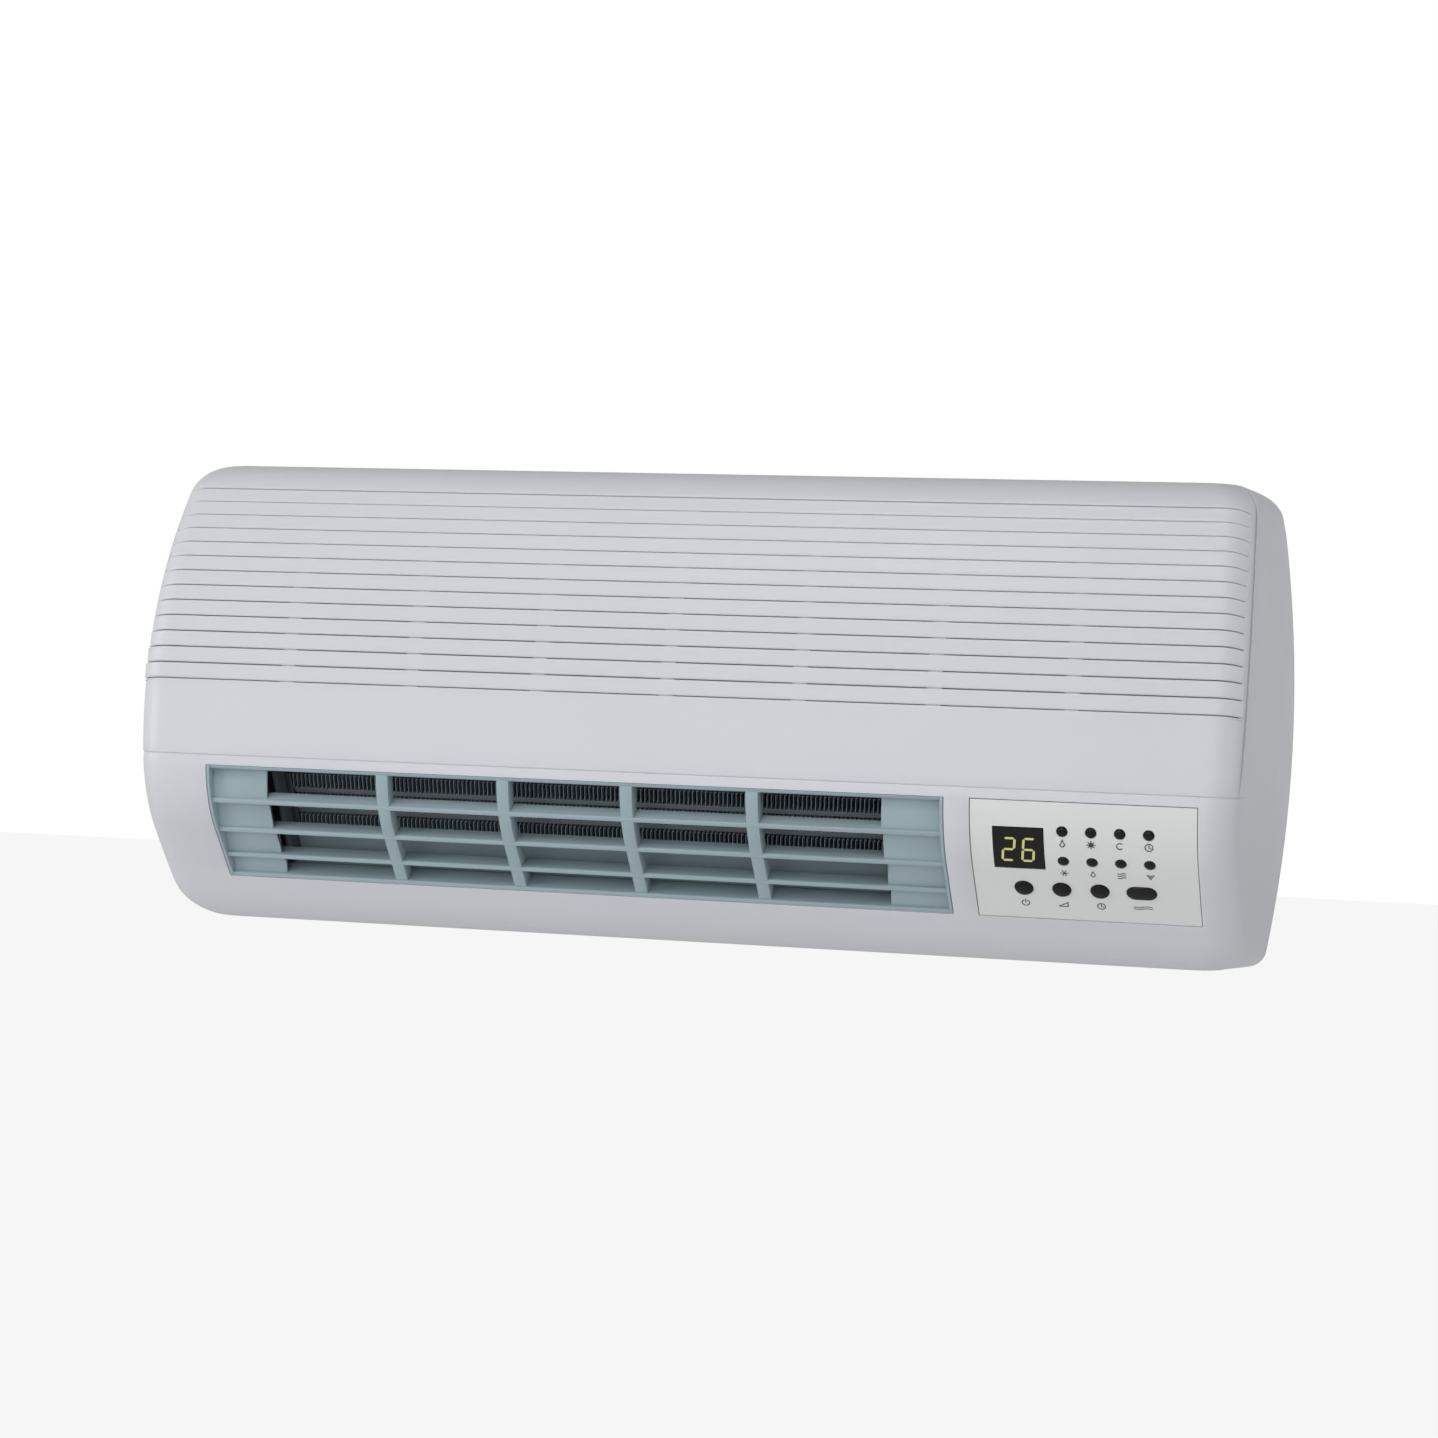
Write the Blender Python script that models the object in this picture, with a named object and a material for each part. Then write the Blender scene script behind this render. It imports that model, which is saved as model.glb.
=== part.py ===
"""Wall-mounted ceramic fan heater with a D-shaped body.

Frame: the back face lies on the wall plane y = 0 and the front looks along -Y.
+X is to the viewer's right, +Z is up, and the origin is the middle of the back face.
Depths are measured out from the wall, so a point at depth d has y = -d.
The profile of the front is a chain of arcs in the YZ plane. Every visible piece takes
its place from that profile, and the air duct behind the outlet has its own slanted
frame, which the heater, the fan and the scroll are placed in.
"""

import math

import bmesh
import bpy
from mathutils import Matrix, Vector

MM = 0.001

# Overall size
BODY_WIDTH = 600 * MM
BODY_HEIGHT = 244 * MM
BODY_DEPTH = 128 * MM

# Front profile: top arc, long brow arc, nose arc, straight chin and bottom arc
TOP_RADIUS = 28 * MM
BROW_ANGLE = 36
NOSE_HEIGHT = 88 * MM
NOSE_RADIUS = 58 * MM
CHIN_ANGLE = 42
BOTTOM_RADIUS = 44 * MM

# Sides: bowed up and down, flaring out towards the wall
SIDE_BOW = 11 * MM
SIDE_FLARE = 13.6 * MM
FLARE_POWER = 1.5
EDGE_RADIUS = 16 * MM
TOP_CORNER = 16 * MM
BOTTOM_CORNER_FRONT = 20 * MM
BOTTOM_CORNER_BACK = 8 * MM

# Walls and clearances
SHELL_WALL = 2.2 * MM
GAP = 0.3 * MM
SEAM_GAP = 1 * MM
SEAT_GAP = 0.4 * MM
RIM_OFF_WALL = 1 * MM

# Intake panel
SEAM_ANGLE = 72
PANEL_TOP_ANGLE = 81
PANEL_DROP = 1 * MM
SLOT_COUNT = 14
SLOT_HEIGHT = 3 * MM
FIRST_SLOT_ANGLE = 35.3
LAST_SLOT_ANGLE = 9.3
BAR_COUNT = 7
BAR_WIDTH = 9 * MM
SLOT_END_BAR_OFFSET = 95 * MM

# Outlet and control fields, both cut between the same two heights
FIELD_TOP_BELOW_NOSE = 5.2 * MM
FIELD_BOTTOM_HEIGHT = 24.3 * MM
LEFT_MARGIN = 53.7 * MM
RIGHT_MARGIN = 31.9 * MM
FASCIA_WIDTH = 110.7 * MM
FIELD_SPACING = 13.4 * MM

# Outlet grille
GRILLE_END_WIDTH = 31.8 * MM
GRILLE_WALL = 1.6 * MM
GRILLE_DEEP = 12 * MM
GRILLE_COLUMNS = 5
GRILLE_BAR = 6.5 * MM
BLADE_COUNT = 3
BLADE_RECESS = 2.5 * MM
BLADE_RUN = 11 * MM
BLADE_RISE = 6 * MM
BLADE_THICK = 1.8 * MM
FACET_STEP = 4 * MM

# Controls on the fascia
FASCIA_THICK = 2 * MM
FASCIA_SINK = 0.3 * MM
DISPLAY_WIDTH = 24.8 * MM
DISPLAY_LEFT = 11.2 * MM
DISPLAY_TOP = 13.2 * MM
DISPLAY_DROP = 20.1 * MM
LIGHT_RADIUS = 2.6 * MM
LIGHT_LEFT = 45.3 * MM
LIGHT_PITCH = 14.07 * MM
LIGHT_ROWS = (14.3 * MM, 29 * MM)
LIGHTS_PER_ROW = 4
BUTTON_RADIUS = 4.5 * MM
BUTTON_LEFT = 24.3 * MM
BUTTON_PITCH = 18.8 * MM
BUTTON_DROP = 43.3 * MM
BUTTON_NAMES = ("power", "heat", "timer")
BUTTON_TRAVEL = 0.8 * MM
BUTTON_PROUD = 0.8 * MM
BUTTON_FLANGE = 1.4 * MM
WINDOW_LEFT = 82.4 * MM
WINDOW_WIDTH = 14.7 * MM
WINDOW_TALL = 8.2 * MM

# Control board behind the fascia
BOARD_SETBACK = 12 * MM
BOARD_THICK = 1.6 * MM
BOARD_HALF_HEIGHT = 27 * MM
BOARD_MARGIN = 5 * MM
SWITCH_TALL = 4.5 * MM
MODULE_TALL = 7 * MM

# Fan, in the duct's own frame
FAN_SETBACK = 77.4 * MM
FAN_RISE = 22.6 * MM
FAN_RADIUS = 30 * MM
FAN_HUB_RADIUS = 9 * MM
BLADE_RING = 7 * MM
FAN_BLADES = 20
FAN_BAYS = 3
DISC_THICK = 2 * MM
BLADE_LEAN = 14
FAN_END_CLEARANCE = 3 * MM
SHAFT_RADIUS = 3 * MM
SPIRAL_CLEARANCE = 3.5 * MM
SPIRAL_START = 100
SPIRAL_END = 262
SPIRAL_END_RADIUS = 62.4 * MM
DUCT_WALL = 1.8 * MM
DUCT_HALF_HEIGHT = 32 * MM
END_PLATE = 2.5 * MM
TONGUE_ANGLES = (-14, 8)

# Ceramic heater, in the duct's own frame
HEATER_SETBACK = 22 * MM
HEATER_THICK = 14 * MM
FIN_ROWS = 3
FIN_TALL = 9 * MM
TUBE_TALL = 3 * MM
FIN_PITCH = 7 * MM
FIN_WALL = 0.8 * MM
HEATER_END = 12 * MM
RAIL_MARGIN = 2 * MM

# Motor
MOTOR_RADIUS = 28 * MM
MOTOR_BORE = 14 * MM
MOTOR_LENGTH = 26 * MM
MOTOR_CAP = 6 * MM
MOTOR_STANDOFF = 6 * MM

# Rear tray
TRAY_INSET = 3.6 * MM
TRAY_PLATE = 2.5 * MM
TRAY_RIM = 1.8 * MM
TRAY_DEEP = 12 * MM
KEYHOLE_SPAN = 400 * MM
KEYHOLE_HEIGHT = 85 * MM
KEYHOLE_HEAD = 5 * MM
KEYHOLE_NECK = 2.6 * MM
KEYHOLE_RISE = 9 * MM
CABLE_HOLE = 7 * MM
CABLE_BORE = 4.5 * MM
CABLE_FROM_RIGHT = 62 * MM
CABLE_FROM_BOTTOM = 36 * MM
SCREW_RADIUS = 1.7 * MM
SCREW_HEAD = 3.4 * MM
SCREW_LENGTH = 12 * MM
SCREW_DEPTH = 8 * MM
SCREW_SPAN = 400 * MM
SCREW_COUNT = 3

# Power electronics on the tray
POWER_BOARD_WIDTH = 100 * MM
POWER_BOARD_TALL = 120 * MM
POWER_BOARD_DEPTH = 8 * MM
POST_RADIUS = 3.5 * MM

# Values that follow from the sizes above
HALF_WIDTH = BODY_WIDTH / 2
TOP = BODY_HEIGHT / 2
BOTTOM = -BODY_HEIGHT / 2
NOSE_Z = BOTTOM + NOSE_HEIGHT
FIELD_TOP = NOSE_Z - FIELD_TOP_BELOW_NOSE
FIELD_BOTTOM = BOTTOM + FIELD_BOTTOM_HEIGHT
FASCIA_RIGHT = HALF_WIDTH - RIGHT_MARGIN
FASCIA_LEFT = FASCIA_RIGHT - FASCIA_WIDTH
GRILLE_RIGHT = FASCIA_LEFT - FIELD_SPACING
GRILLE_LEFT = -HALF_WIDTH + LEFT_MARGIN
OPENING_LEFT = GRILLE_LEFT + GRILLE_END_WIDTH
OPENING_RIGHT = GRILLE_RIGHT - GRILLE_END_WIDTH


def sin(degrees):
    return math.sin(math.radians(degrees))


def cos(degrees):
    return math.cos(math.radians(degrees))


# ---------------------------------------------------------------- front profile

BROW_RADIUS = (TOP - TOP_RADIUS * (1 - sin(BROW_ANGLE)) - NOSE_Z) / sin(BROW_ANGLE)
BROW_TOP_Z = NOSE_Z + BROW_RADIUS * sin(BROW_ANGLE)
TOP_ARC_DEPTH = BODY_DEPTH - BROW_RADIUS * (1 - cos(BROW_ANGLE)) - TOP_RADIUS * cos(BROW_ANGLE)
CHIN_TOP_Z = NOSE_Z - NOSE_RADIUS * sin(CHIN_ANGLE)
CHIN_TOP_DEPTH = BODY_DEPTH - NOSE_RADIUS * (1 - cos(CHIN_ANGLE))
CHIN_LOW_Z = BOTTOM + BOTTOM_RADIUS * (1 - sin(CHIN_ANGLE))
CHIN_LOW_DEPTH = CHIN_TOP_DEPTH - (CHIN_TOP_Z - CHIN_LOW_Z) * math.tan(math.radians(CHIN_ANGLE))
BOTTOM_ARC_DEPTH = CHIN_LOW_DEPTH - BOTTOM_RADIUS * cos(CHIN_ANGLE)


def profile_angle(z):
    """Tilt of the front's outward normal above the horizontal, in degrees, at height z."""
    if z > BROW_TOP_Z:
        return math.degrees(math.asin(min(1, (z - TOP + TOP_RADIUS) / TOP_RADIUS)))
    if z > NOSE_Z:
        return math.degrees(math.asin((z - NOSE_Z) / BROW_RADIUS))
    if z > CHIN_TOP_Z:
        return -math.degrees(math.asin((NOSE_Z - z) / NOSE_RADIUS))
    if z > CHIN_LOW_Z:
        return -CHIN_ANGLE
    return -math.degrees(math.asin(min(1, (BOTTOM + BOTTOM_RADIUS - z) / BOTTOM_RADIUS)))


def profile_depth(z):
    """Depth of the front's outer surface at height z."""
    angle = profile_angle(z)
    if z > BROW_TOP_Z:
        return TOP_ARC_DEPTH + TOP_RADIUS * cos(angle)
    if z > NOSE_Z:
        return BODY_DEPTH - BROW_RADIUS * (1 - cos(angle))
    if z > CHIN_TOP_Z:
        return BODY_DEPTH - NOSE_RADIUS * (1 - cos(angle))
    if z > CHIN_LOW_Z:
        return CHIN_TOP_DEPTH - (CHIN_TOP_Z - z) * math.tan(math.radians(CHIN_ANGLE))
    return BOTTOM_ARC_DEPTH + BOTTOM_RADIUS * cos(angle)


def top_arc_z(angle):
    return TOP - TOP_RADIUS * (1 - sin(angle))


def brow_z(angle):
    return NOSE_Z + BROW_RADIUS * sin(angle)


def nose_z(angle):
    return NOSE_Z - NOSE_RADIUS * sin(angle)


def bottom_arc_z(angle):
    return BOTTOM + BOTTOM_RADIUS * (1 - sin(angle))


def corner_shrink(depth, z):
    """How far the side has rolled inwards near the top or the bottom edge."""
    towards_front = min(1, depth / BOTTOM_ARC_DEPTH)
    low_radius = BOTTOM_CORNER_BACK + (BOTTOM_CORNER_FRONT - BOTTOM_CORNER_BACK) * towards_front
    radius, over = (TOP_CORNER, z - TOP + TOP_CORNER) if z > 0 else (low_radius, BOTTOM + low_radius - z)
    if over <= 0:
        return 0
    return radius - math.sqrt(max(0, radius**2 - over**2))


def side_x(depth, z):
    """Half width of the body at that depth and height."""
    bow = SIDE_BOW * (z / TOP) ** 2
    flare = SIDE_FLARE * (max(0, depth) / BODY_DEPTH) ** FLARE_POWER
    return HALF_WIDTH - bow - flare - corner_shrink(depth, z)


def edge_point(z, angle):
    """Half width and depth on the rounded edge between the front and the side."""
    side_depth = profile_depth(z) - EDGE_RADIUS
    half = side_x(side_depth, z) - EDGE_RADIUS * (1 - sin(angle))
    return half, side_depth + EDGE_RADIUS * cos(angle)


# ------------------------------------------------------------- the duct's frame

FIELD_HIGH = Vector((profile_depth(FIELD_TOP), FIELD_TOP))
FIELD_LOW = Vector((profile_depth(FIELD_BOTTOM), FIELD_BOTTOM))
FIELD_MIDDLE = (FIELD_HIGH + FIELD_LOW) / 2
FIELD_HALF = (FIELD_HIGH - FIELD_LOW).length / 2
DUCT_UP = (FIELD_HIGH - FIELD_LOW).normalized()
DUCT_IN = Vector((-DUCT_UP.y, DUCT_UP.x))
DUCT_ANGLE = math.degrees(math.atan2(-DUCT_UP.x, DUCT_UP.y))


def duct(inward, upward):
    """(depth, z) of a point so far in from the outlet's face and up along it."""
    return tuple(FIELD_MIDDLE + DUCT_IN * inward + DUCT_UP * upward)


FAN_DEPTH, FAN_Z = duct(FAN_SETBACK, FAN_RISE)
FAN_AXIS = (FAN_DEPTH, FAN_Z)
END_LEFT = OPENING_LEFT - END_PLATE
END_RIGHT = OPENING_RIGHT + END_PLATE


def around_fan(angle, radius):
    """(depth, z) at an angle about the fan's axis: 0 faces the room, 90 is up."""
    return FAN_DEPTH + radius * cos(angle), FAN_Z + radius * sin(angle)


# ------------------------------------------------------------------ mesh helpers


def make_material(name, colour, roughness, metallic=0.0):
    material = bpy.data.materials.new(name)
    material.use_nodes = True
    shader = material.node_tree.nodes["Principled BSDF"]
    shader.inputs["Base Color"].default_value = (*colour, 1)
    shader.inputs["Roughness"].default_value = roughness
    shader.inputs["Metallic"].default_value = metallic
    material.diffuse_color = (*colour, 1)
    return material


def new_object(name, mesh, material):
    """Links a bmesh as an object. A piece with no material is a cutter or a helper."""
    data = bpy.data.meshes.new(name)
    mesh.to_mesh(data)
    mesh.free()
    obj = bpy.data.objects.new(name, data)
    bpy.context.scene.collection.objects.link(obj)
    if material is None:
        obj.hide_render = True
        obj.display_type = "WIRE"
    else:
        data.materials.append(material)
        data.shade_smooth()
        data.set_sharp_from_angle(angle=math.radians(35))
    return obj


def extruded(name, outline, along, material):
    """A flat closed outline of points, drawn out along a vector."""
    mesh = bmesh.new()
    face = mesh.faces.new([mesh.verts.new(point) for point in outline])
    grown = bmesh.ops.extrude_face_region(mesh, geom=[face])["geom"]
    moved = [item for item in grown if isinstance(item, bmesh.types.BMVert)]
    bmesh.ops.translate(mesh, verts=moved, vec=along)
    bmesh.ops.recalc_face_normals(mesh, faces=mesh.faces)
    return new_object(name, mesh, material)


def bar(name, section, left, right, material):
    """A section of (depth, z) points, drawn out across the body from left to right."""
    outline = [Vector((0, -depth, z)) for depth, z in section]
    obj = extruded(name, outline, Vector((right - left, 0, 0)), material)
    obj.location.x = left
    return obj


def slab(name, outline, near, far, material):
    """An outline of (x, z) points, drawn out from one depth to another."""
    points = [Vector((x, 0, z)) for x, z in outline]
    obj = extruded(name, points, Vector((0, near - far, 0)), material)
    obj.location.y = -near
    return obj


def box(name, low, high, material):
    """A block between two corners, each (x, depth, z)."""
    outline = [(low[0], low[2]), (high[0], low[2]), (high[0], high[2]), (low[0], high[2])]
    return slab(name, outline, low[1], high[1], material)


def turned(name, profile, steps, material):
    """A profile of (radius, height) points, spun about the local Z axis."""
    mesh = bmesh.new()
    verts = [mesh.verts.new((radius, 0, height)) for radius, height in profile]
    closed = profile[0][0] > 0 or profile[-1][0] > 0
    ends = zip(verts, verts[1:] + verts[:1]) if closed else zip(verts, verts[1:])
    edges = [mesh.edges.new(pair) for pair in ends]
    bmesh.ops.spin(
        mesh,
        geom=verts + edges,
        cent=(0, 0, 0),
        axis=(0, 0, 1),
        angle=math.tau,
        steps=steps,
        use_merge=True,
    )
    bmesh.ops.remove_doubles(mesh, verts=mesh.verts, dist=0.001 * MM)
    bmesh.ops.recalc_face_normals(mesh, faces=mesh.faces)
    return new_object(name, mesh, material)


def disc(name, radius, height, steps, material):
    return turned(name, [(0, 0), (radius, 0), (radius, height), (0, height)], steps, material)


def ring(name, inner, outer, height, steps, material):
    profile = [(inner, 0), (outer, 0), (outer, height), (inner, height)]
    return turned(name, profile, steps, material)


def combine(obj, other, operation):
    """Unites the helper with the object, or cuts it out of it."""
    modifier = obj.modifiers.new(operation.title() + " " + other.name, "BOOLEAN")
    modifier.operation = operation
    modifier.object = other
    modifier.solver = "EXACT"
    return obj


def rows_between(start, end, count):
    """Values from start to end in equal steps, both ends included."""
    return [start + (end - start) * index / count for index in range(count + 1)]


def on_face(x, z, sink=0.0):
    """A frame on the front's surface whose local Z points out along the normal."""
    angle = profile_angle(z)
    depth = profile_depth(z) - sink * cos(angle)
    height = z - sink * sin(angle)
    turn = Matrix.Rotation(math.radians(90 - angle), 4, "X")
    return Matrix.Translation((x, -depth, height)) @ turn


def across(x, depth, z):
    """A frame whose local Z points along +X."""
    return Matrix.Translation((x, -depth, z)) @ Matrix.Rotation(math.radians(90), 4, "Y")


def out_of_wall(x, depth, z):
    """A frame whose local Z points out of the wall, along -Y."""
    return Matrix.Translation((x, -depth, z)) @ Matrix.Rotation(math.radians(90), 4, "X")


# ---------------------------------------------------------------------- materials

WHITE = make_material("white_shell", (0.62, 0.63, 0.66), 0.42)
GRILLE_BLUE = make_material("grille_blue_grey", (0.33, 0.42, 0.46), 0.45)
FASCIA_GREY = make_material("fascia_warm_grey", (0.62, 0.62, 0.60), 0.5)
BLACK = make_material("gloss_black", (0.012, 0.012, 0.013), 0.25)
DARK_PLASTIC = make_material("dark_plastic", (0.06, 0.06, 0.065), 0.5)
DUCT_GREY = make_material("duct_grey", (0.24, 0.29, 0.31), 0.5)
STEEL = make_material("zinc_steel", (0.55, 0.55, 0.54), 0.35, 1.0)
ALUMINIUM = make_material("aluminium", (0.72, 0.73, 0.74), 0.3, 1.0)
COPPER = make_material("winding_copper", (0.45, 0.17, 0.07), 0.4, 1.0)
BOARD_GREEN = make_material("board_green", (0.03, 0.16, 0.06), 0.45)
RUBBER = make_material("rubber", (0.02, 0.02, 0.02), 0.8)
NYLON = make_material("nylon", (0.70, 0.68, 0.62), 0.5)
FAN_GREY = make_material("fan_grey", (0.18, 0.18, 0.19), 0.5)

for leftover in list(bpy.data.objects):
    bpy.data.objects.remove(leftover)

# ------------------------------------------------------------------ front housing


def housing_levels():
    """Heights down the housing, from the flat top to the flat bottom."""
    levels = [top_arc_z(angle) for angle in (90, PANEL_TOP_ANGLE + 1.5, 70, 58, 47)]
    levels += [brow_z(angle) for angle in rows_between(BROW_ANGLE, 6, 7)]
    levels += [NOSE_Z + PANEL_DROP - SEAM_GAP]
    levels += [nose_z(angle) for angle in (7, 14, 21, 28, 35, CHIN_ANGLE)]
    levels += [bottom_arc_z(angle) for angle in (CHIN_ANGLE, 52, 62, 72, 81, 90)]
    return levels


def housing_section(z):
    """Half widths and depths from the back rim, round the edge, to the front."""
    side_depth = profile_depth(z) - EDGE_RADIUS
    seam_angle = SEAM_ANGLE + math.degrees(SEAM_GAP / 2 / EDGE_RADIUS)
    section = []
    for share in (0, 0.45, 0.85):
        depth = RIM_OFF_WALL + (side_depth - RIM_OFF_WALL) * share
        section.append((side_x(depth, z), depth))
    section.append(edge_point(z, seam_angle + 9))
    for angle in (seam_angle, seam_angle * 2 / 3, seam_angle / 3, 0):
        section.append(edge_point(z, angle))
    return section


def make_front_housing():
    """The outer shell: both cheeks, the top and bottom, and the chin with its two fields."""
    levels = housing_levels()
    mesh = bmesh.new()
    grid = []
    for z in levels:
        section = housing_section(z)
        row = [(-x, depth) for x, depth in section]
        row += [(x, depth) for x, depth in reversed(section)]
        grid.append([mesh.verts.new((x, -depth, z)) for x, depth in row])
    seam_column = 4
    last = len(grid[0]) - 1
    panel_top = 1
    panel_bottom = levels.index(NOSE_Z + PANEL_DROP - SEAM_GAP)
    for row in range(len(grid) - 1):
        for column in range(last):
            if panel_top <= row < panel_bottom and seam_column <= column < last - seam_column:
                continue
            upper, lower = grid[row], grid[row + 1]
            mesh.faces.new((upper[column], lower[column], lower[column + 1], upper[column + 1]))
    mesh.faces.new(grid[0])
    mesh.faces.new(list(reversed(grid[-1])))
    loose = [vert for vert in mesh.verts if not vert.link_faces]
    bmesh.ops.delete(mesh, geom=loose, context="VERTS")
    housing = new_object("front_housing", mesh, WHITE)
    add_wall(housing, SHELL_WALL)
    reach = FIELD_HALF + SEAT_GAP
    near, far = -20 * MM, 30 * MM
    section = [duct(near, -reach), duct(far, -reach), duct(far, reach), duct(near, reach)]
    fields = {"outlet": (GRILLE_LEFT, GRILLE_RIGHT), "controls": (FASCIA_LEFT, FASCIA_RIGHT)}
    for name, (left, right) in fields.items():
        cutter = bar("cut_" + name + "_field", section, left - SEAT_GAP, right + SEAT_GAP, None)
        combine(housing, cutter, "DIFFERENCE")
    return housing


def add_wall(obj, thickness):
    """Gives an outer skin its thickness, inwards."""
    wall = obj.modifiers.new("Wall", "SOLIDIFY")
    wall.thickness = thickness
    wall.offset = -1
    wall.use_even_offset = True
    return obj


front_housing = make_front_housing()

# ------------------------------------------------------------------- intake panel


def slot_edges():
    """Angles of the upper and lower edge of each intake slot, from the top down."""
    half = math.degrees(SLOT_HEIGHT / 2 / BROW_RADIUS)
    edges = []
    for middle in rows_between(FIRST_SLOT_ANGLE, LAST_SLOT_ANGLE, SLOT_COUNT - 1):
        edges += [middle + half, middle - half]
    return edges


def bar_edges():
    """Left and right sides of the upright bars that tie the slats together."""
    outermost = HALF_WIDTH - SLOT_END_BAR_OFFSET
    edges = []
    for middle in rows_between(-outermost, outermost, BAR_COUNT - 1):
        edges += [middle - BAR_WIDTH / 2, middle + BAR_WIDTH / 2]
    return edges


def make_intake_panel():
    """The ribbed front panel, which curls round to the seams beside the cheeks."""
    seam_angle = SEAM_ANGLE - math.degrees(SEAM_GAP / 2 / EDGE_RADIUS)
    edge_angles = [seam_angle, seam_angle - 14, (seam_angle - 14) / 2, 0]
    levels = [top_arc_z(angle) for angle in (PANEL_TOP_ANGLE, 69, 58, 47)]
    first_slot = len(levels)
    levels += [brow_z(angle) for angle in slot_edges()]
    last_slot = len(levels)
    levels += rows_between(brow_z(6), NOSE_Z + PANEL_DROP, 3)
    bars = bar_edges()
    mesh = bmesh.new()
    grid = []
    for z in levels:
        edge = [edge_point(z, angle) for angle in edge_angles]
        row = [(-x, depth) for x, depth in edge]
        row += [(x, edge[-1][1]) for x in bars]
        row += [(x, depth) for x, depth in reversed(edge)]
        grid.append([mesh.verts.new((x, -depth, z)) for x, depth in row])
    first_bar = len(edge_angles)
    last = len(grid[0]) - 1
    for row in range(len(grid) - 1):
        in_slot = first_slot <= row < last_slot and (row - first_slot) % 2 == 0
        for column in range(last):
            on_bar = 0 <= column - first_bar < len(bars) and (column - first_bar) % 2 == 0
            at_end = column == 0 or column == last - 1
            if in_slot and not on_bar and not at_end:
                continue
            upper, lower = grid[row], grid[row + 1]
            mesh.faces.new((upper[column], lower[column], lower[column + 1], upper[column + 1]))
    obj = new_object("intake_panel", mesh, WHITE)
    return add_wall(obj, SHELL_WALL)


intake_panel = make_intake_panel()

# --------------------------------------------------------------------- rear tray


def tray_outline(inset):
    """Rounded outline that follows the housing's back rim, inset on every side."""
    shrink = 1 - inset / TOP
    heights = [bottom_arc_z(angle) for angle in (90, 84, 78, 66, 54)]
    heights += rows_between(CHIN_LOW_Z, TOP - TOP_CORNER, 6)
    heights += [TOP - TOP_CORNER * (1 - sin(angle)) for angle in (30, 52, 70, 90)]
    right = [(side_x(0, z) - inset, z * shrink) for z in heights]
    left = [(-x, z) for x, z in reversed(right)]
    return right + left


def keyhole_outline(x, z):
    """A round hole for the screw head, with a narrower neck above it."""
    neck_angle = math.degrees(math.asin(KEYHOLE_NECK / KEYHOLE_HEAD))
    head = rows_between(90 - neck_angle, -270 + neck_angle, 16)
    outline = [(x + KEYHOLE_HEAD * cos(angle), z + KEYHOLE_HEAD * sin(angle)) for angle in head]
    crown = z + KEYHOLE_RISE
    for angle in rows_between(180, 0, 6):
        outline.append((x + KEYHOLE_NECK * cos(angle), crown + KEYHOLE_NECK * sin(angle)))
    return outline


CABLE_X = HALF_WIDTH - CABLE_FROM_RIGHT
CABLE_Z = BOTTOM + CABLE_FROM_BOTTOM
BOARD_LEFT = END_RIGHT + 40 * MM
BOARD_LOW = CABLE_Z + 25 * MM
SCREW_XS = rows_between(-SCREW_SPAN / 2, SCREW_SPAN / 2, SCREW_COUNT - 1)


def post_places():
    """Where the four posts under the power board stand."""
    inset = 6 * MM
    xs = (BOARD_LEFT + inset, BOARD_LEFT + POWER_BOARD_WIDTH - inset)
    zs = (BOARD_LOW + inset, BOARD_LOW + POWER_BOARD_TALL - inset)
    return [(x, z) for x in xs for z in zs]


def make_rear_housing():
    """The shallow tray against the wall that carries everything else."""
    tray = slab("rear_housing", tray_outline(TRAY_INSET), 0, TRAY_DEEP, WHITE)
    pocket_outline = tray_outline(TRAY_INSET + TRAY_RIM)
    pocket = slab("cut_tray_pocket", pocket_outline, TRAY_PLATE, TRAY_DEEP + 1 * MM, None)
    combine(tray, pocket, "DIFFERENCE")
    for side, x in (("left", -KEYHOLE_SPAN / 2), ("right", KEYHOLE_SPAN / 2)):
        outline = keyhole_outline(x, KEYHOLE_HEIGHT)
        keyhole = slab("cut_keyhole_" + side, outline, -1 * MM, TRAY_PLATE + 1 * MM, None)
        combine(tray, keyhole, "DIFFERENCE")
    cable = disc("cut_cable_hole", CABLE_HOLE, TRAY_PLATE + 2 * MM, 20, None)
    cable.matrix_world = out_of_wall(CABLE_X, -1 * MM, CABLE_Z)
    combine(tray, cable, "DIFFERENCE")
    for index, (x, z) in enumerate(post_places()):
        height = POWER_BOARD_DEPTH - GAP - TRAY_PLATE / 2
        post = disc(f"join_post_{index + 1}", POST_RADIUS, height, 12, None)
        post.matrix_world = out_of_wall(x, TRAY_PLATE / 2, z)
        combine(tray, post, "UNION")
    lug_low = BOTTOM * (1 - TRAY_INSET / TOP) + TRAY_RIM / 2
    for index, x in enumerate(SCREW_XS):
        half = 6 * MM
        low = (x - half, TRAY_PLATE / 2, lug_low)
        high = (x + half, TRAY_DEEP - 1 * MM, lug_low + SCREW_LENGTH)
        lug = box(f"join_lug_{index + 1}", low, high, None)
        combine(tray, lug, "UNION")
        hole = disc(f"cut_lug_hole_{index + 1}", SCREW_RADIUS + GAP, SCREW_LENGTH + 1 * MM, 12, None)
        hole.location = (x, -SCREW_DEPTH, BOTTOM)
        combine(tray, hole, "DIFFERENCE")
    return tray


rear_housing = make_rear_housing()


def screw_profile(extra):
    """A countersunk screw, point up, head down, grown by a clearance."""
    head = SCREW_HEAD + extra
    shank = SCREW_RADIUS + extra
    sink = SHELL_WALL - 0.4 * MM
    return [(0, 0), (head, 0), (shank, sink), (shank, SCREW_LENGTH - 1.5 * MM), (0, SCREW_LENGTH)]


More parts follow.
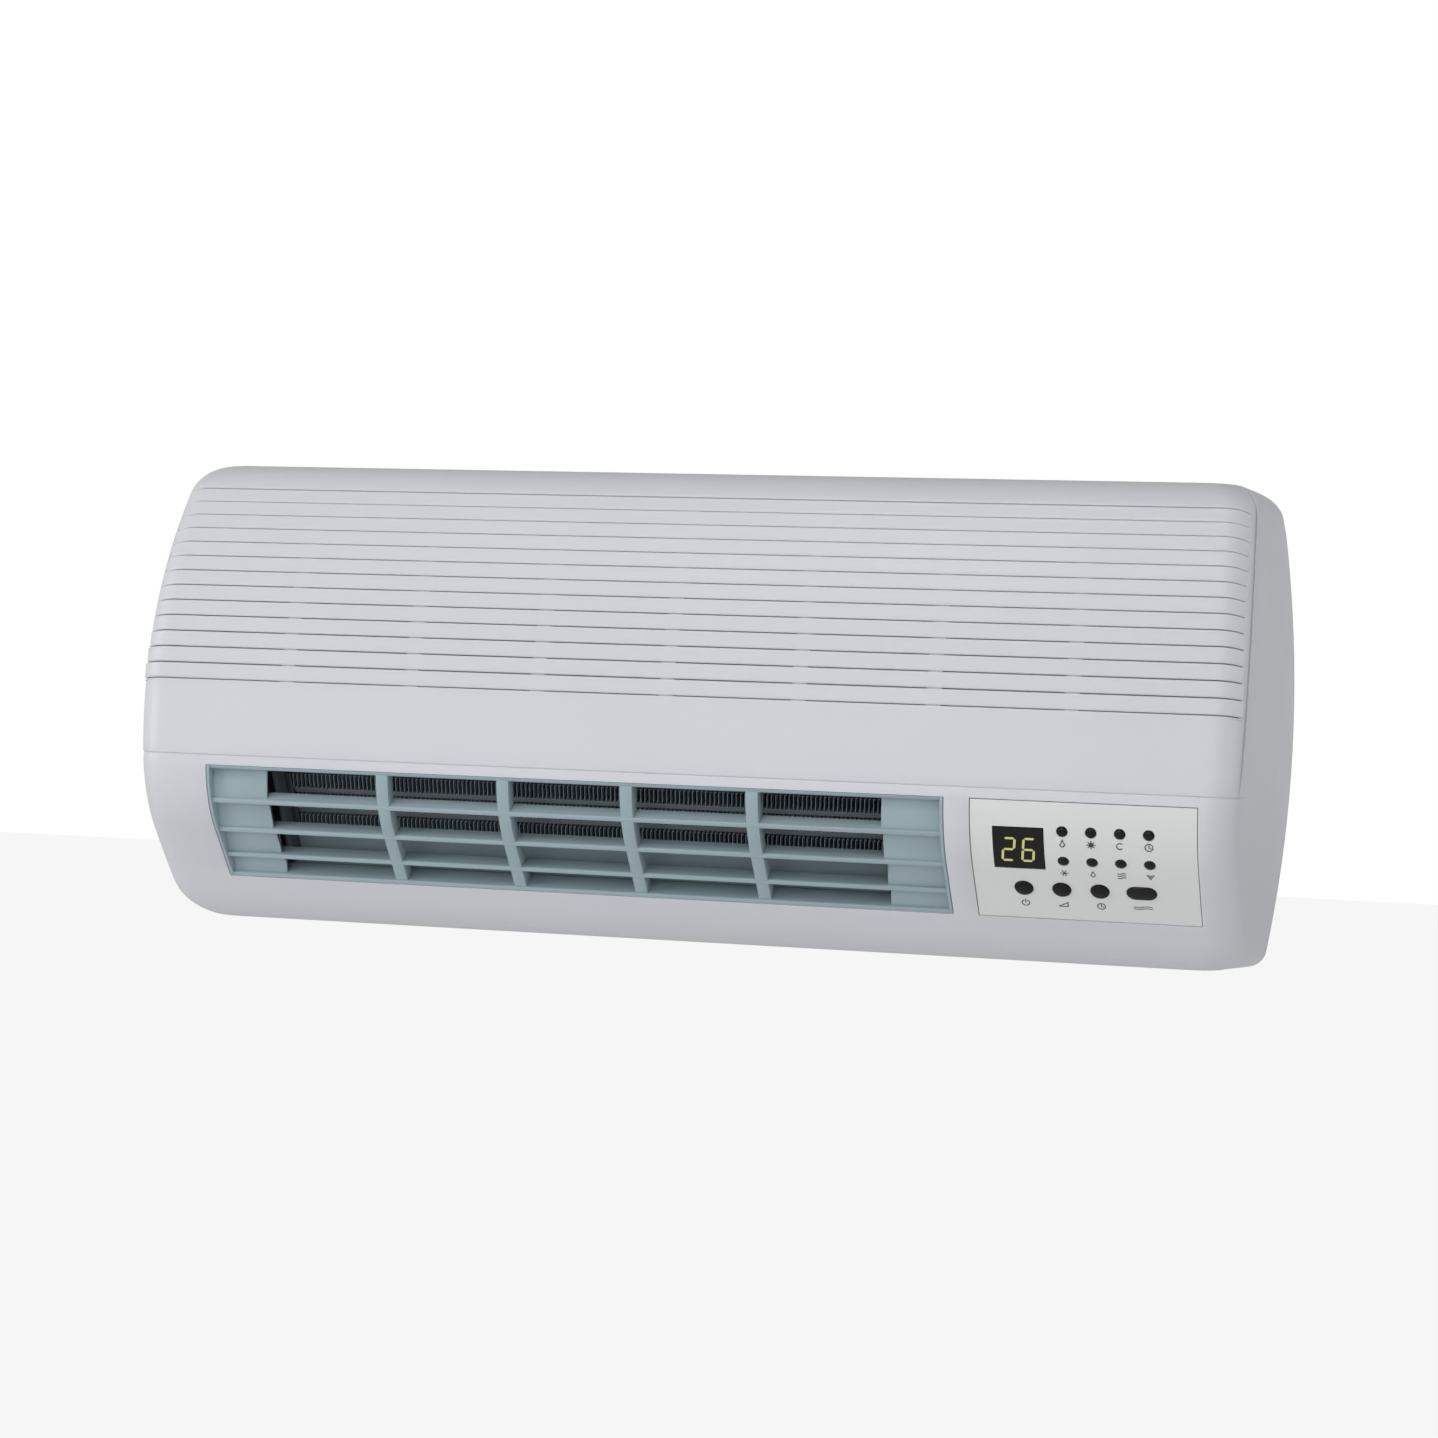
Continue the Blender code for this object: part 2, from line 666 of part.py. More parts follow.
def make_housing_screws():
    """The countersunk screws that hold the front housing to the tray, from below."""
    for index, x in enumerate(SCREW_XS):
        cutter = turned(f"cut_screw_seat_{index + 1}", screw_profile(GAP), 16, None)
        cutter.location = (x, -SCREW_DEPTH, BOTTOM - 0.05 * MM)
        combine(front_housing, cutter, "DIFFERENCE")
        screw = turned(f"housing_screw_{index + 1}", screw_profile(0), 12, STEEL)
        screw.location = (x, -SCREW_DEPTH, BOTTOM + 0.2 * MM)


make_housing_screws()


def make_cable_grommet():
    """The grommet in the tray where the supply cable comes in from the wall."""
    flange = CABLE_HOLE + 3 * MM
    neck = CABLE_HOLE - GAP
    profile = [
        (CABLE_BORE, 0),
        (neck, 0),
        (neck, TRAY_PLATE),
        (flange, TRAY_PLATE),
        (flange, TRAY_PLATE + 2 * MM),
        (CABLE_BORE, TRAY_PLATE + 3 * MM),
    ]
    grommet = turned("cable_grommet", profile, 20, RUBBER)
    grommet.matrix_world = out_of_wall(CABLE_X, GAP, CABLE_Z)


make_cable_grommet()

# ------------------------------------------------------------------ outlet grille

GRILLE_TOP = FIELD_TOP
GRILLE_BOTTOM = FIELD_BOTTOM


def grille_front(recess):
    """(depth, z) points down the outlet's face, set in from the housing's surface."""
    heights = rows_between(GRILLE_TOP, GRILLE_BOTTOM, 7)
    return [tuple(Vector((profile_depth(z), z)) + DUCT_IN * recess) for z in heights]


def blade_edges():
    """(depth, z) of the front edge of each blade, then of the lowest facet."""
    edges = []
    for share in (0.335, 0.594, 0.824, 1):
        z = GRILLE_TOP + (GRILLE_BOTTOM - GRILLE_TOP) * share
        edges.append(tuple(Vector((profile_depth(z), z)) + DUCT_IN * BLADE_RECESS))
    return edges


def make_outlet_grille():
    """The frame, its stepped end facets, the sloping blades and the upright bars."""
    left, right = GRILLE_LEFT, GRILLE_RIGHT
    shift = DUCT_IN * GRILLE_DEEP
    front = grille_front(0)
    back = [(depth + shift.x, z + shift.y) for depth, z in reversed(front)]
    grille = bar("outlet_grille", front + back, left, left + GRILLE_WALL, GRILLE_BLUE)
    far_wall = bar("join_grille_wall", front + back, right - GRILLE_WALL, right, None)
    combine(grille, far_wall, "UNION")
    inner_left = left + GRILLE_WALL / 2
    inner_right = right - GRILLE_WALL / 2
    lip = DUCT_UP * (GRILLE_WALL + 0.6 * MM)
    for name, corner, sign in (("top", front[0], -1), ("bottom", front[-1], 1)):
        outer = Vector(corner)
        inner = outer + lip * sign
        section = [outer, outer + shift, inner + shift, inner]
        rail = bar("join_grille_" + name, section, inner_left, inner_right, None)
        combine(grille, rail, "UNION")
    run = DUCT_IN * BLADE_RUN
    under = DUCT_UP * -BLADE_THICK
    edges = blade_edges()
    for index, edge in enumerate(edges[:BLADE_COUNT]):
        nose = Vector(edge)
        tail = nose + run
        section = [nose, tail, tail + under * 0.6, nose + DUCT_IN * 2 * MM + under, nose + under * 0.4]
        blade = bar(f"join_grille_blade_{index + 1}", section, inner_left, inner_right, None)
        combine(grille, blade, "UNION")
    add_end_facets(grille, edges)
    add_upright_bars(grille)
    return grille


def facet_section(edges):
    """Saw-tooth front of the closed ends: each facet leans out over the next."""
    section = []
    start = Vector(grille_front(BLADE_RECESS)[0])
    for edge in edges:
        section.append(tuple(start + DUCT_IN * FACET_STEP))
        section.append(edge)
        start = Vector(edge)
    section[0] = (section[0][0], GRILLE_TOP - 0.5 * MM)
    low = Vector(duct(GRILLE_DEEP - 1 * MM, -DUCT_HALF_HEIGHT))
    high = Vector(duct(GRILLE_DEEP - 1 * MM, DUCT_HALF_HEIGHT))
    section[-1] = tuple(Vector(section[-1]) + DUCT_UP * 0.8 * MM)
    return section + [tuple(low), tuple(high)]


def add_end_facets(grille, edges):
    section = facet_section(edges)
    spans = {
        "left": (GRILLE_LEFT + GRILLE_WALL / 2, OPENING_LEFT),
        "right": (OPENING_RIGHT, GRILLE_RIGHT - GRILLE_WALL / 2),
    }
    for name, (left, right) in spans.items():
        combine(grille, bar("join_facets_" + name, section, left, right, None), "UNION")


def add_upright_bars(grille):
    """Upright bars between the columns of openings, level with the blades' edges."""
    front = grille_front(BLADE_RECESS + 0.4 * MM)
    front[0] = tuple(Vector(front[0]) - DUCT_UP * 0.4 * MM)
    front[-1] = tuple(Vector(front[-1]) + DUCT_UP * 0.4 * MM)
    shift = DUCT_IN * 8 * MM
    back = [(depth + shift.x, z + shift.y) for depth, z in reversed(front)]
    opening = OPENING_RIGHT - OPENING_LEFT
    inner = (opening - 2 * 61.9 * MM - 4 * GRILLE_BAR) / 3
    for index in range(GRILLE_COLUMNS - 1):
        left = OPENING_LEFT + 61.9 * MM + index * (inner + GRILLE_BAR)
        upright = bar(f"join_grille_bar_{index + 1}", front + back, left, left + GRILLE_BAR, None)
        combine(grille, upright, "UNION")


outlet_grille = make_outlet_grille()

# ------------------------------------------------------- control fascia and lens


def face_plate(name, left, right, top, bottom, sink, thickness, steps, material):
    """A thin plate that follows the curve of the front, set in by sink."""
    mesh = bmesh.new()
    rows = []
    for z in rows_between(top, bottom, steps):
        angle = profile_angle(z)
        depth = profile_depth(z) - sink * cos(angle)
        height = z - sink * sin(angle)
        rows.append([mesh.verts.new((x, -depth, height)) for x in (left, right)])
    for upper, lower in zip(rows, rows[1:]):
        mesh.faces.new((upper[0], lower[0], lower[1], upper[1]))
    return add_wall(new_object(name, mesh, material), thickness)


def stadium(width, tall, steps):
    """Outline of a slot with round ends, as (x, y) points about its middle."""
    radius = tall / 2
    reach = width / 2 - radius
    outline = []
    for angle in rows_between(-90, 90, steps):
        outline.append((reach + radius * cos(angle), radius * sin(angle)))
    for angle in rows_between(90, 270, steps):
        outline.append((-reach + radius * cos(angle), radius * sin(angle)))
    return outline


DISPLAY_X0 = FASCIA_LEFT + DISPLAY_LEFT
DISPLAY_X1 = DISPLAY_X0 + DISPLAY_WIDTH
DISPLAY_Z1 = FIELD_TOP - DISPLAY_TOP
DISPLAY_Z0 = DISPLAY_Z1 - DISPLAY_DROP
BUTTON_Z = FIELD_TOP - BUTTON_DROP
WINDOW_X = FASCIA_LEFT + WINDOW_LEFT


def light_places():
    places = []
    for drop in LIGHT_ROWS:
        for index in range(LIGHTS_PER_ROW):
            places.append((FASCIA_LEFT + LIGHT_LEFT + index * LIGHT_PITCH, FIELD_TOP - drop))
    return places


def button_x(index):
    return FASCIA_LEFT + BUTTON_LEFT + index * BUTTON_PITCH


def cut_through_fascia(fascia, cutter, x, z):
    """Cuts a hole square to the surface, right through the fascia."""
    cutter.matrix_world = on_face(x, z, FASCIA_THICK + 2 * MM)
    combine(fascia, cutter, "DIFFERENCE")


def make_fascia():
    """The warm grey control panel with its window, light, button and receiver holes."""
    fascia = face_plate(
        "control_fascia", FASCIA_LEFT, FASCIA_RIGHT, FIELD_TOP, FIELD_BOTTOM,
        FASCIA_SINK, FASCIA_THICK, 9, FASCIA_GREY,
    )
    window = face_plate(
        "cut_display_window", DISPLAY_X0 - GAP, DISPLAY_X1 + GAP, DISPLAY_Z1 + GAP,
        DISPLAY_Z0 - GAP, -2 * MM, FASCIA_THICK + 4 * MM, 5, None,
    )
    combine(fascia, window, "DIFFERENCE")
    tall = FASCIA_THICK + 4 * MM
    for index, (x, z) in enumerate(light_places()):
        hole = disc(f"cut_light_{index + 1}", LIGHT_RADIUS + GAP, tall, 16, None)
        cut_through_fascia(fascia, hole, x, z)
    for index, name in enumerate(BUTTON_NAMES):
        hole = disc(f"cut_{name}_button", BUTTON_RADIUS + GAP, tall, 24, None)
        cut_through_fascia(fascia, hole, button_x(index), BUTTON_Z)
    outline = stadium(WINDOW_WIDTH + 2 * GAP, WINDOW_TALL + 2 * GAP, 7)
    points = [Vector((x, y, 0)) for x, y in outline]
    hole = extruded("cut_receiver_window", points, Vector((0, 0, tall)), None)
    cut_through_fascia(fascia, hole, WINDOW_X, BUTTON_Z)
    return fascia


control_fascia = make_fascia()
display_lens = face_plate(
    "display_lens", DISPLAY_X0, DISPLAY_X1, DISPLAY_Z1, DISPLAY_Z0,
    FASCIA_SINK, FASCIA_THICK, 5, BLACK,
)


def make_receiver_window():
    """The oval window over the remote control's receiver."""
    outline = stadium(WINDOW_WIDTH, WINDOW_TALL, 7)
    points = [Vector((x, y, 0)) for x, y in outline]
    window = extruded("receiver_window", points, Vector((0, 0, 2.4 * MM)), BLACK)
    window.matrix_world = on_face(WINDOW_X, BUTTON_Z, 2 * MM)


def make_indicator_lights():
    """Eight dark light pipes that carry the board's lamps to the fascia."""
    profile = [
        (0, 0),
        (LIGHT_RADIUS - 0.7 * MM, 0),
        (LIGHT_RADIUS, 5 * MM),
        (LIGHT_RADIUS, 7 * MM),
        (LIGHT_RADIUS * 0.7, 7.6 * MM),
        (0, 7.8 * MM),
    ]
    for index, (x, z) in enumerate(light_places()):
        light = turned(f"indicator_light_{index + 1}", profile, 16, BLACK)
        light.matrix_world = on_face(x, z, 7.4 * MM)


def make_buttons():
    """Three round caps, each with a flange behind the fascia and a stem to its switch."""
    flange_gap = FASCIA_SINK + FASCIA_THICK + GAP
    stem_end = flange_gap + BUTTON_FLANGE + 5.5 * MM
    flange_radius = BUTTON_RADIUS + 1.5 * MM
    profile = [
        (0, -stem_end),
        (1.6 * MM, -stem_end),
        (1.6 * MM, -flange_gap - BUTTON_FLANGE),
        (flange_radius, -flange_gap - BUTTON_FLANGE),
        (flange_radius, -flange_gap),
        (BUTTON_RADIUS, -flange_gap),
        (BUTTON_RADIUS, BUTTON_PROUD - 0.5 * MM),
        (BUTTON_RADIUS - 0.6 * MM, BUTTON_PROUD - 0.1 * MM),
        (0, BUTTON_PROUD),
    ]
    for index, name in enumerate(BUTTON_NAMES):
        button = turned(name + "_button", profile, 24, BLACK)
        button.matrix_world = on_face(button_x(index), BUTTON_Z)


make_receiver_window()
make_indicator_lights()
make_buttons()

# ------------------------------------------------------------------ control board


def board_frame(x, up, lift):
    """A frame on the control board's front, whose local Z points at the fascia."""
    depth, z = duct(BOARD_SETBACK - lift, up)
    turn = Matrix.Rotation(math.radians(90 - DUCT_ANGLE), 4, "X")
    return Matrix.Translation((x, -depth, z)) @ turn


def board_up_of(z):
    """How far up the board the point lies that faces height z on the surface."""
    return (Vector((profile_depth(z), z)) - FIELD_MIDDLE).dot(DUCT_UP)


def block(name, half_x, half_y, tall, material):
    """A block that stands on its local XY plane."""
    corners = ((-half_x, -half_y), (half_x, -half_y), (half_x, half_y), (-half_x, half_y))
    return extruded(name, [Vector((x, y, 0)) for x, y in corners], Vector((0, 0, tall)), material)


def make_control_board():
    """The board behind the fascia, with its display, switches and receiver."""
    half = (FASCIA_WIDTH - 2 * BOARD_MARGIN) / 2
    middle = (FASCIA_LEFT + FASCIA_RIGHT) / 2
    board = block("control_board", half, BOARD_HALF_HEIGHT, BOARD_THICK, BOARD_GREEN)
    board.matrix_world = board_frame(middle, 0, -BOARD_THICK)
    display_x = (DISPLAY_X0 + DISPLAY_X1) / 2
    display_up = board_up_of((DISPLAY_Z0 + DISPLAY_Z1) / 2)
    module = block("display_module", 12.5 * MM, 9 * MM, MODULE_TALL, DARK_PLASTIC)
    module.matrix_world = board_frame(display_x, display_up, GAP)
    switch_shift = (BOARD_SETBACK + 4 * MM) * math.tan(math.radians(CHIN_ANGLE + DUCT_ANGLE))
    switch_up = board_up_of(BUTTON_Z) + switch_shift
    for index, name in enumerate(BUTTON_NAMES):
        switch = block(name + "_switch", 3 * MM, 3 * MM, SWITCH_TALL, DARK_PLASTIC)
        switch.matrix_world = board_frame(button_x(index), switch_up, GAP)
    receiver = block("infrared_receiver", 3.2 * MM, 3.6 * MM, 6 * MM, DARK_PLASTIC)
    receiver.matrix_world = board_frame(WINDOW_X, switch_up, GAP)


make_control_board()

# --------------------------------------------------------------- scroll and duct


def offset_path(points, distance):
    """The same path of (depth, z) points, moved to its left by a distance."""
    moved = []
    for index, point in enumerate(points):
        before = Vector(points[max(0, index - 1)])
        after = Vector(points[min(len(points) - 1, index + 1)])
        along = (after - before).normalized()
        moved.append(tuple(Vector(point) + Vector((-along.y, along.x)) * distance))
    return moved


def spiral_radius(angle):
    start = FAN_RADIUS + SPIRAL_CLEARANCE
    share = (angle - SPIRAL_START) / (SPIRAL_END - SPIRAL_START)
    return start * (SPIRAL_END_RADIUS / start) ** share


def scroll_path():
    """Inner face of the scroll: from above the fan, round behind it, to the outlet."""
    path = [around_fan(a, spiral_radius(a)) for a in rows_between(SPIRAL_START, SPIRAL_END, 14)]
    return path + [duct(GRILLE_DEEP + 1.5 * MM, -DUCT_HALF_HEIGHT)]


def tongue_path():
    """Inner face of the duct's upper wall, ending in the lip beside the fan."""
    radius = FAN_RADIUS + SPIRAL_CLEARANCE
    lip = [around_fan(a, radius) for a in rows_between(TONGUE_ANGLES[1], TONGUE_ANGLES[0], 3)]
    return lip + [duct(GRILLE_DEEP + 1.5 * MM, DUCT_HALF_HEIGHT - 1 * MM)]


def strip(path, thickness):
    """A closed section: the path and the same path offset outwards."""
    return path + list(reversed(offset_path(path, thickness)))


DUCT_X0 = OPENING_LEFT + GAP
DUCT_X1 = OPENING_RIGHT - GAP
scroll_section = strip(scroll_path(), -DUCT_WALL)
scroll_casing = bar("scroll_casing", scroll_section, DUCT_X0, DUCT_X1, DUCT_GREY)
tongue_section = strip(tongue_path(), DUCT_WALL)
duct_tongue = bar("duct_tongue", tongue_section, DUCT_X0, DUCT_X1, DUCT_GREY)

BEARING_RADIUS = 9 * MM
SHAFT_HOLE = 12 * MM


def end_plate_section():
    """Outline of the cheeks that close the scroll and the duct at both ends."""
    outer = offset_path(scroll_path(), -4 * MM)
    upper = offset_path(tongue_path(), 4 * MM)
    crown = [around_fan(angle, FAN_RADIUS + 10 * MM) for angle in (60, 35)]
    return outer + list(reversed(upper)) + list(reversed(crown))


def make_end_plates():
    """Side plates of the duct: the left one faces the motor, the right one the bearing."""
    section = end_plate_section()
    left = bar("duct_end_left", section, END_LEFT, OPENING_LEFT, DUCT_GREY)
    hole = disc("cut_shaft_hole", SHAFT_HOLE, END_PLATE + 2 * MM, 20, None)
    hole.matrix_world = across(END_LEFT - 1 * MM, *FAN_AXIS)
    combine(left, hole, "DIFFERENCE")
    right = bar("duct_end_right", section, OPENING_RIGHT, END_RIGHT, DUCT_GREY)
    seat = disc("cut_bearing_seat", BEARING_RADIUS + GAP, END_PLATE + 2 * MM, 20, None)
    seat.matrix_world = across(OPENING_RIGHT - 1 * MM, *FAN_AXIS)
    combine(right, seat, "DIFFERENCE")


make_end_plates()

# -------------------------------------------------------------- cross-flow fan

FAN_X0 = OPENING_LEFT + FAN_END_CLEARANCE
FAN_X1 = OPENING_RIGHT - FAN_END_CLEARANCE
FAN_LENGTH = FAN_X1 - FAN_X0


def fan_layers():
    """Heights along the axis where discs and bays of blades meet, and which are discs."""
    bay = (FAN_LENGTH - (FAN_BAYS + 1) * DISC_THICK) / FAN_BAYS
    heights = [0]
    for _ in range(FAN_BAYS):
        heights += [heights[-1] + DISC_THICK, heights[-1] + DISC_THICK + bay]
    heights.append(heights[-1] + DISC_THICK)
    return heights


def make_impeller():
    """Leaning blades held between rings, with a closed disc and a hub at both ends."""
    heights = fan_layers()
    inner = FAN_RADIUS - BLADE_RING
    share = 0.28
    mesh = bmesh.new()
    stations = []
    for index in range(FAN_BLADES):
        start = 360 / FAN_BLADES * index
        stations += [start, start + 360 / FAN_BLADES * share]
    grid = []
    for height in heights:
        layer = []
        for angle in stations:
            near = Vector((inner * cos(angle), inner * sin(angle), height))
            far_angle = angle + BLADE_LEAN
            far = Vector((FAN_RADIUS * cos(far_angle), FAN_RADIUS * sin(far_angle), height))
            layer.append((mesh.verts.new(near), mesh.verts.new(far)))
        grid.append(layer)
    count = len(stations)
    top = len(heights) - 1
    for level in range(top):
        is_disc = level % 2 == 0
        for index in range(count):
            here, beside = grid[level][index], grid[level][(index + 1) % count]
            above, above_beside = grid[level + 1][index], grid[level + 1][(index + 1) % count]
            is_blade = index % 2 == 0
            if is_disc or is_blade:
                mesh.faces.new((here[1], beside[1], above_beside[1], above[1]))
                mesh.faces.new((beside[0], here[0], above[0], above_beside[0]))
            if is_disc and (level == 0 or not is_blade):
                mesh.faces.new((here[0], beside[0], beside[1], here[1]))
            if is_disc and (level == top - 1 or not is_blade):
                mesh.faces.new((above[1], above_beside[1], above_beside[0], above[0]))
            if not is_disc and is_blade:
                mesh.faces.new((here[0], here[1], above[1], above[0]))
                mesh.faces.new((beside[1], beside[0], above_beside[0], above_beside[1]))
    bmesh.ops.recalc_face_normals(mesh, faces=mesh.faces)
    impeller = new_object("fan_impeller", mesh, FAN_GREY)
    impeller.matrix_world = across(FAN_X0, *FAN_AXIS)
    add_hub(impeller, "join_hub_left", "cut_hub_left", 0)
    add_hub(impeller, "join_hub_right", "cut_hub_right", FAN_LENGTH - 12 * MM)
    return impeller


def add_hub(impeller, hub_name, bore_name, height):
    """A web and a bored hub inside one end of the impeller."""
    web_radius = FAN_RADIUS - BLADE_RING / 2
    web = DISC_THICK * 0.8
    low = height == 0
    base = 0.2 * MM if low else FAN_LENGTH - web - 0.2 * MM
    plate = disc(hub_name + "_web", web_radius, web, 40, None)
    plate.matrix_world = across(FAN_X0 + base, *FAN_AXIS)
    combine(impeller, plate, "UNION")
    boss_start = 0.4 * MM if low else height - 0.4 * MM
    boss = disc(hub_name, FAN_HUB_RADIUS, 12 * MM, 20, None)
    boss.matrix_world = across(FAN_X0 + boss_start, *FAN_AXIS)
    combine(impeller, boss, "UNION")
    bore = disc(bore_name, SHAFT_RADIUS + GAP, 14 * MM, 16, None)
    bore_start = -2 * MM if low else height
    bore.matrix_world = across(FAN_X0 + bore_start, *FAN_AXIS)
    combine(impeller, bore, "DIFFERENCE")


fan_impeller = make_impeller()

# --------------------------------------------------------------- motor and shaft

MOTOR_X1 = END_LEFT - MOTOR_STANDOFF
MOTOR_X0 = MOTOR_X1 - MOTOR_LENGTH - 2 * MOTOR_CAP


def make_motor():
    """A small round motor on the left: stator, windings, two end caps and the rotor."""
    core_x = MOTOR_X0 + MOTOR_CAP
    core_length = MOTOR_LENGTH
    stator = ring("motor_stator", MOTOR_BORE, MOTOR_RADIUS, core_length - 2 * GAP, 28, STEEL)
    stator.matrix_world = across(core_x + GAP, *FAN_AXIS)
    for name, start in (("left", MOTOR_X0), ("right", MOTOR_X1 - MOTOR_CAP)):
        inner = SHAFT_RADIUS + GAP
        cap = ring("motor_cap_" + name, inner, MOTOR_RADIUS, MOTOR_CAP, 28, ALUMINIUM)
        cap.matrix_world = across(start, *FAN_AXIS)
    rotor_length = core_length - 4 * MM
    rotor = ring("motor_rotor", SHAFT_RADIUS + GAP, MOTOR_BORE - 1 * MM, rotor_length, 24, STEEL)
    rotor.matrix_world = across(core_x + 2 * MM, *FAN_AXIS)
    shaft_start = MOTOR_X0 - 3 * MM
    shaft_end = FAN_X0 + 11 * MM
    shaft = disc("motor_shaft", SHAFT_RADIUS, shaft_end - shaft_start, 16, STEEL)
    shaft.matrix_world = across(shaft_start, *FAN_AXIS)


def make_motor_bracket():
    """A folded steel cradle that holds the motor off the tray."""
    reach = MOTOR_RADIUS + GAP
    thick = 1.5 * MM
    foot = TRAY_PLATE + GAP
    arc = [around_fan(angle, reach) for angle in rows_between(120, 240, 10)]
    inner = [(foot, FAN_Z + 34 * MM), (foot + thick, FAN_Z + 34 * MM)]
    upper = [(foot + thick, arc[0][1] + 1 * MM), (arc[0][0], arc[0][1] + 1 * MM)]
    lower = [(arc[-1][0], arc[-1][1] - 1 * MM), (foot + thick, arc[-1][1] - 1 * MM)]
    feet = [(foot + thick, FAN_Z - 34 * MM), (foot, FAN_Z - 34 * MM)]
    section = inner + upper + arc + lower + feet
    start = MOTOR_X0 + 8 * MM
    bar("motor_bracket", section, start, start + 20 * MM, STEEL)


def make_bearing():
    """The rubber bush in the right end plate and the pin that runs in it."""
    bush = ring("rubber_bush", 5 * MM, BEARING_RADIUS, END_PLATE + 3 * MM, 20, RUBBER)
    bush.matrix_world = across(OPENING_RIGHT + GAP, *FAN_AXIS)
    sleeve = ring("sleeve_bearing", SHAFT_RADIUS + 0.05 * MM, 5 * MM - GAP, END_PLATE + 3 * MM, 20, COPPER)
    sleeve.matrix_world = across(OPENING_RIGHT + GAP, *FAN_AXIS)
    pin_start = FAN_X1 - 11 * MM
    pin_end = END_RIGHT + 5 * MM
    pin = disc("bearing_pin", SHAFT_RADIUS, pin_end - pin_start, 20, STEEL)
    pin.matrix_world = across(pin_start, *FAN_AXIS)
    cover = [
        (0, 0),
        (14 * MM, 0),
        (14 * MM, 4 * MM),
        (11 * MM, 8 * MM),
        (0, 8 * MM),
        (0, 6.5 * MM),
        (10 * MM, 6.5 * MM),
        (10 * MM, 1.5 * MM),
        (10 * MM, 0),
    ]
    holder = turned("bearing_cover", cover[2:] + [(14 * MM, 0)], 20, NYLON)
    holder.matrix_world = across(END_RIGHT + GAP, *FAN_AXIS)


make_motor()
make_motor_bracket()
make_bearing()

# ------------------------------------------------------------- ceramic heater

HEATER_X0 = DUCT_X0 + GAP
HEATER_X1 = DUCT_X1 - GAP
STACK = FIN_ROWS * FIN_TALL + (FIN_ROWS - 1) * TUBE_TALL + 2 * (FIN_ROWS - 1) * GAP


def duct_block(name, near, far, low, high, left, right, material):
    """A block in the duct's frame, between two setbacks and two heights."""
    section = [duct(near, low), duct(far, low), duct(far, high), duct(near, high)]
    return bar(name, section, left, right, material)


def fin_outline(length):
    """A square-cornered zigzag strip as one closed outline of (x, height) points."""
    folds = 2 * int(length / FIN_PITCH / 2) + 1
    pitch = length / folds
    lower, upper = [], []
    for index in range(folds):
        start, end = pitch * index, pitch * (index + 1)
        high = index % 2 == 1
        floor = FIN_TALL - FIN_WALL if high else 0
        ceiling = FIN_TALL if high else FIN_WALL
        rise = FIN_WALL / 2
        low_inset = rise if high else -rise
        first, last = index == 0, index == folds - 1
        lower += [(start + (0 if first else low_inset), floor), (end - (0 if last else low_inset), floor)]
        upper += [(start + (0 if first else -low_inset), ceiling), (end + (0 if last else low_inset), ceiling)]
    return lower + list(reversed(upper))


def make_heater():
    """Three rows of folded fins, two tubes with the ceramic stones, rails and ends."""
    near, far = HEATER_SETBACK, HEATER_SETBACK + HEATER_THICK
    low = -STACK / 2
    left = HEATER_X0 + HEATER_END + GAP
    right = HEATER_X1 - HEATER_END - GAP
    outline = fin_outline(right - left)
    for index in range(FIN_ROWS):
        points = []
        for x, up in outline:
            depth, z = duct(near, low + up)
            points.append(Vector((x, -depth, z)))
        through = Vector((0, -DUCT_IN.x, DUCT_IN.y)) * HEATER_THICK
        fins = extruded(f"fin_row_{index + 1}", points, through, ALUMINIUM)
        fins.location.x = left
        low += FIN_TALL + GAP
        if index < FIN_ROWS - 1:
            name = f"heating_tube_{index + 1}"
            tube_ends = (HEATER_X0 + 3 * MM, HEATER_X1 - 3 * MM)
            duct_block(name, near + 1 * MM, far - 1 * MM, low, low + TUBE_TALL, *tube_ends, ALUMINIUM)
            low += TUBE_TALL + GAP
    make_heater_frame(near, far)


def make_heater_frame(near, far):
    """Moulded rails above and below the fins, and slotted blocks over their ends."""
    rail_far = DUCT_HALF_HEIGHT - RAIL_MARGIN
    edge = STACK / 2 + GAP
    span = (HEATER_X0, HEATER_X1)
    duct_block("heater_rail_lower", near, far, -rail_far, -edge, *span, GRILLE_BLUE)
    duct_block("heater_rail_upper", near, far, edge, rail_far - 2 * MM, *span, DARK_PLASTIC)
    ends = {
        "left": (HEATER_X0, HEATER_X0 + HEATER_END),
        "right": (HEATER_X1 - HEATER_END, HEATER_X1),
    }
    half = STACK / 2
    for side, (left, right) in ends.items():
        end = duct_block("heater_end_" + side, near, far, -half, half, left, right, DARK_PLASTIC)
        low = -half
        for index in range(FIN_ROWS - 1):
            low += FIN_TALL + GAP
            slot = duct_block(
                f"cut_{side}_tube_{index + 1}", near + 1 * MM - GAP, far - 1 * MM + GAP,
                low - GAP, low + TUBE_TALL + GAP, HEATER_X0 - 1 * MM, HEATER_X1 + 1 * MM, None,
            )
            combine(end, slot, "DIFFERENCE")
            low += TUBE_TALL + GAP


make_heater()


def make_safety_devices():
    """The resetting thermal cutout and the one-shot fuse, above the heater's upper rail."""
    rest = HEATER_SETBACK + HEATER_THICK + 1 * MM
    depth, z = duct(rest, 0)
    cutout = disc("thermal_cutout", 7 * MM, 5 * MM, 20, BLACK)
    turn = Matrix.Rotation(math.radians(-90 - DUCT_ANGLE), 4, "X")
    cutout.matrix_world = Matrix.Translation((HEATER_X1 - 20 * MM, -depth, z)) @ turn
    fuse_depth, fuse_z = duct(rest + 2.5 * MM, 12 * MM)
    fuse = disc("thermal_fuse", 2 * MM, 14 * MM, 12, STEEL)
    fuse.matrix_world = across(HEATER_X1 - 46 * MM, fuse_depth, fuse_z)


make_safety_devices()

# ----------------------------------------------------------- power electronics


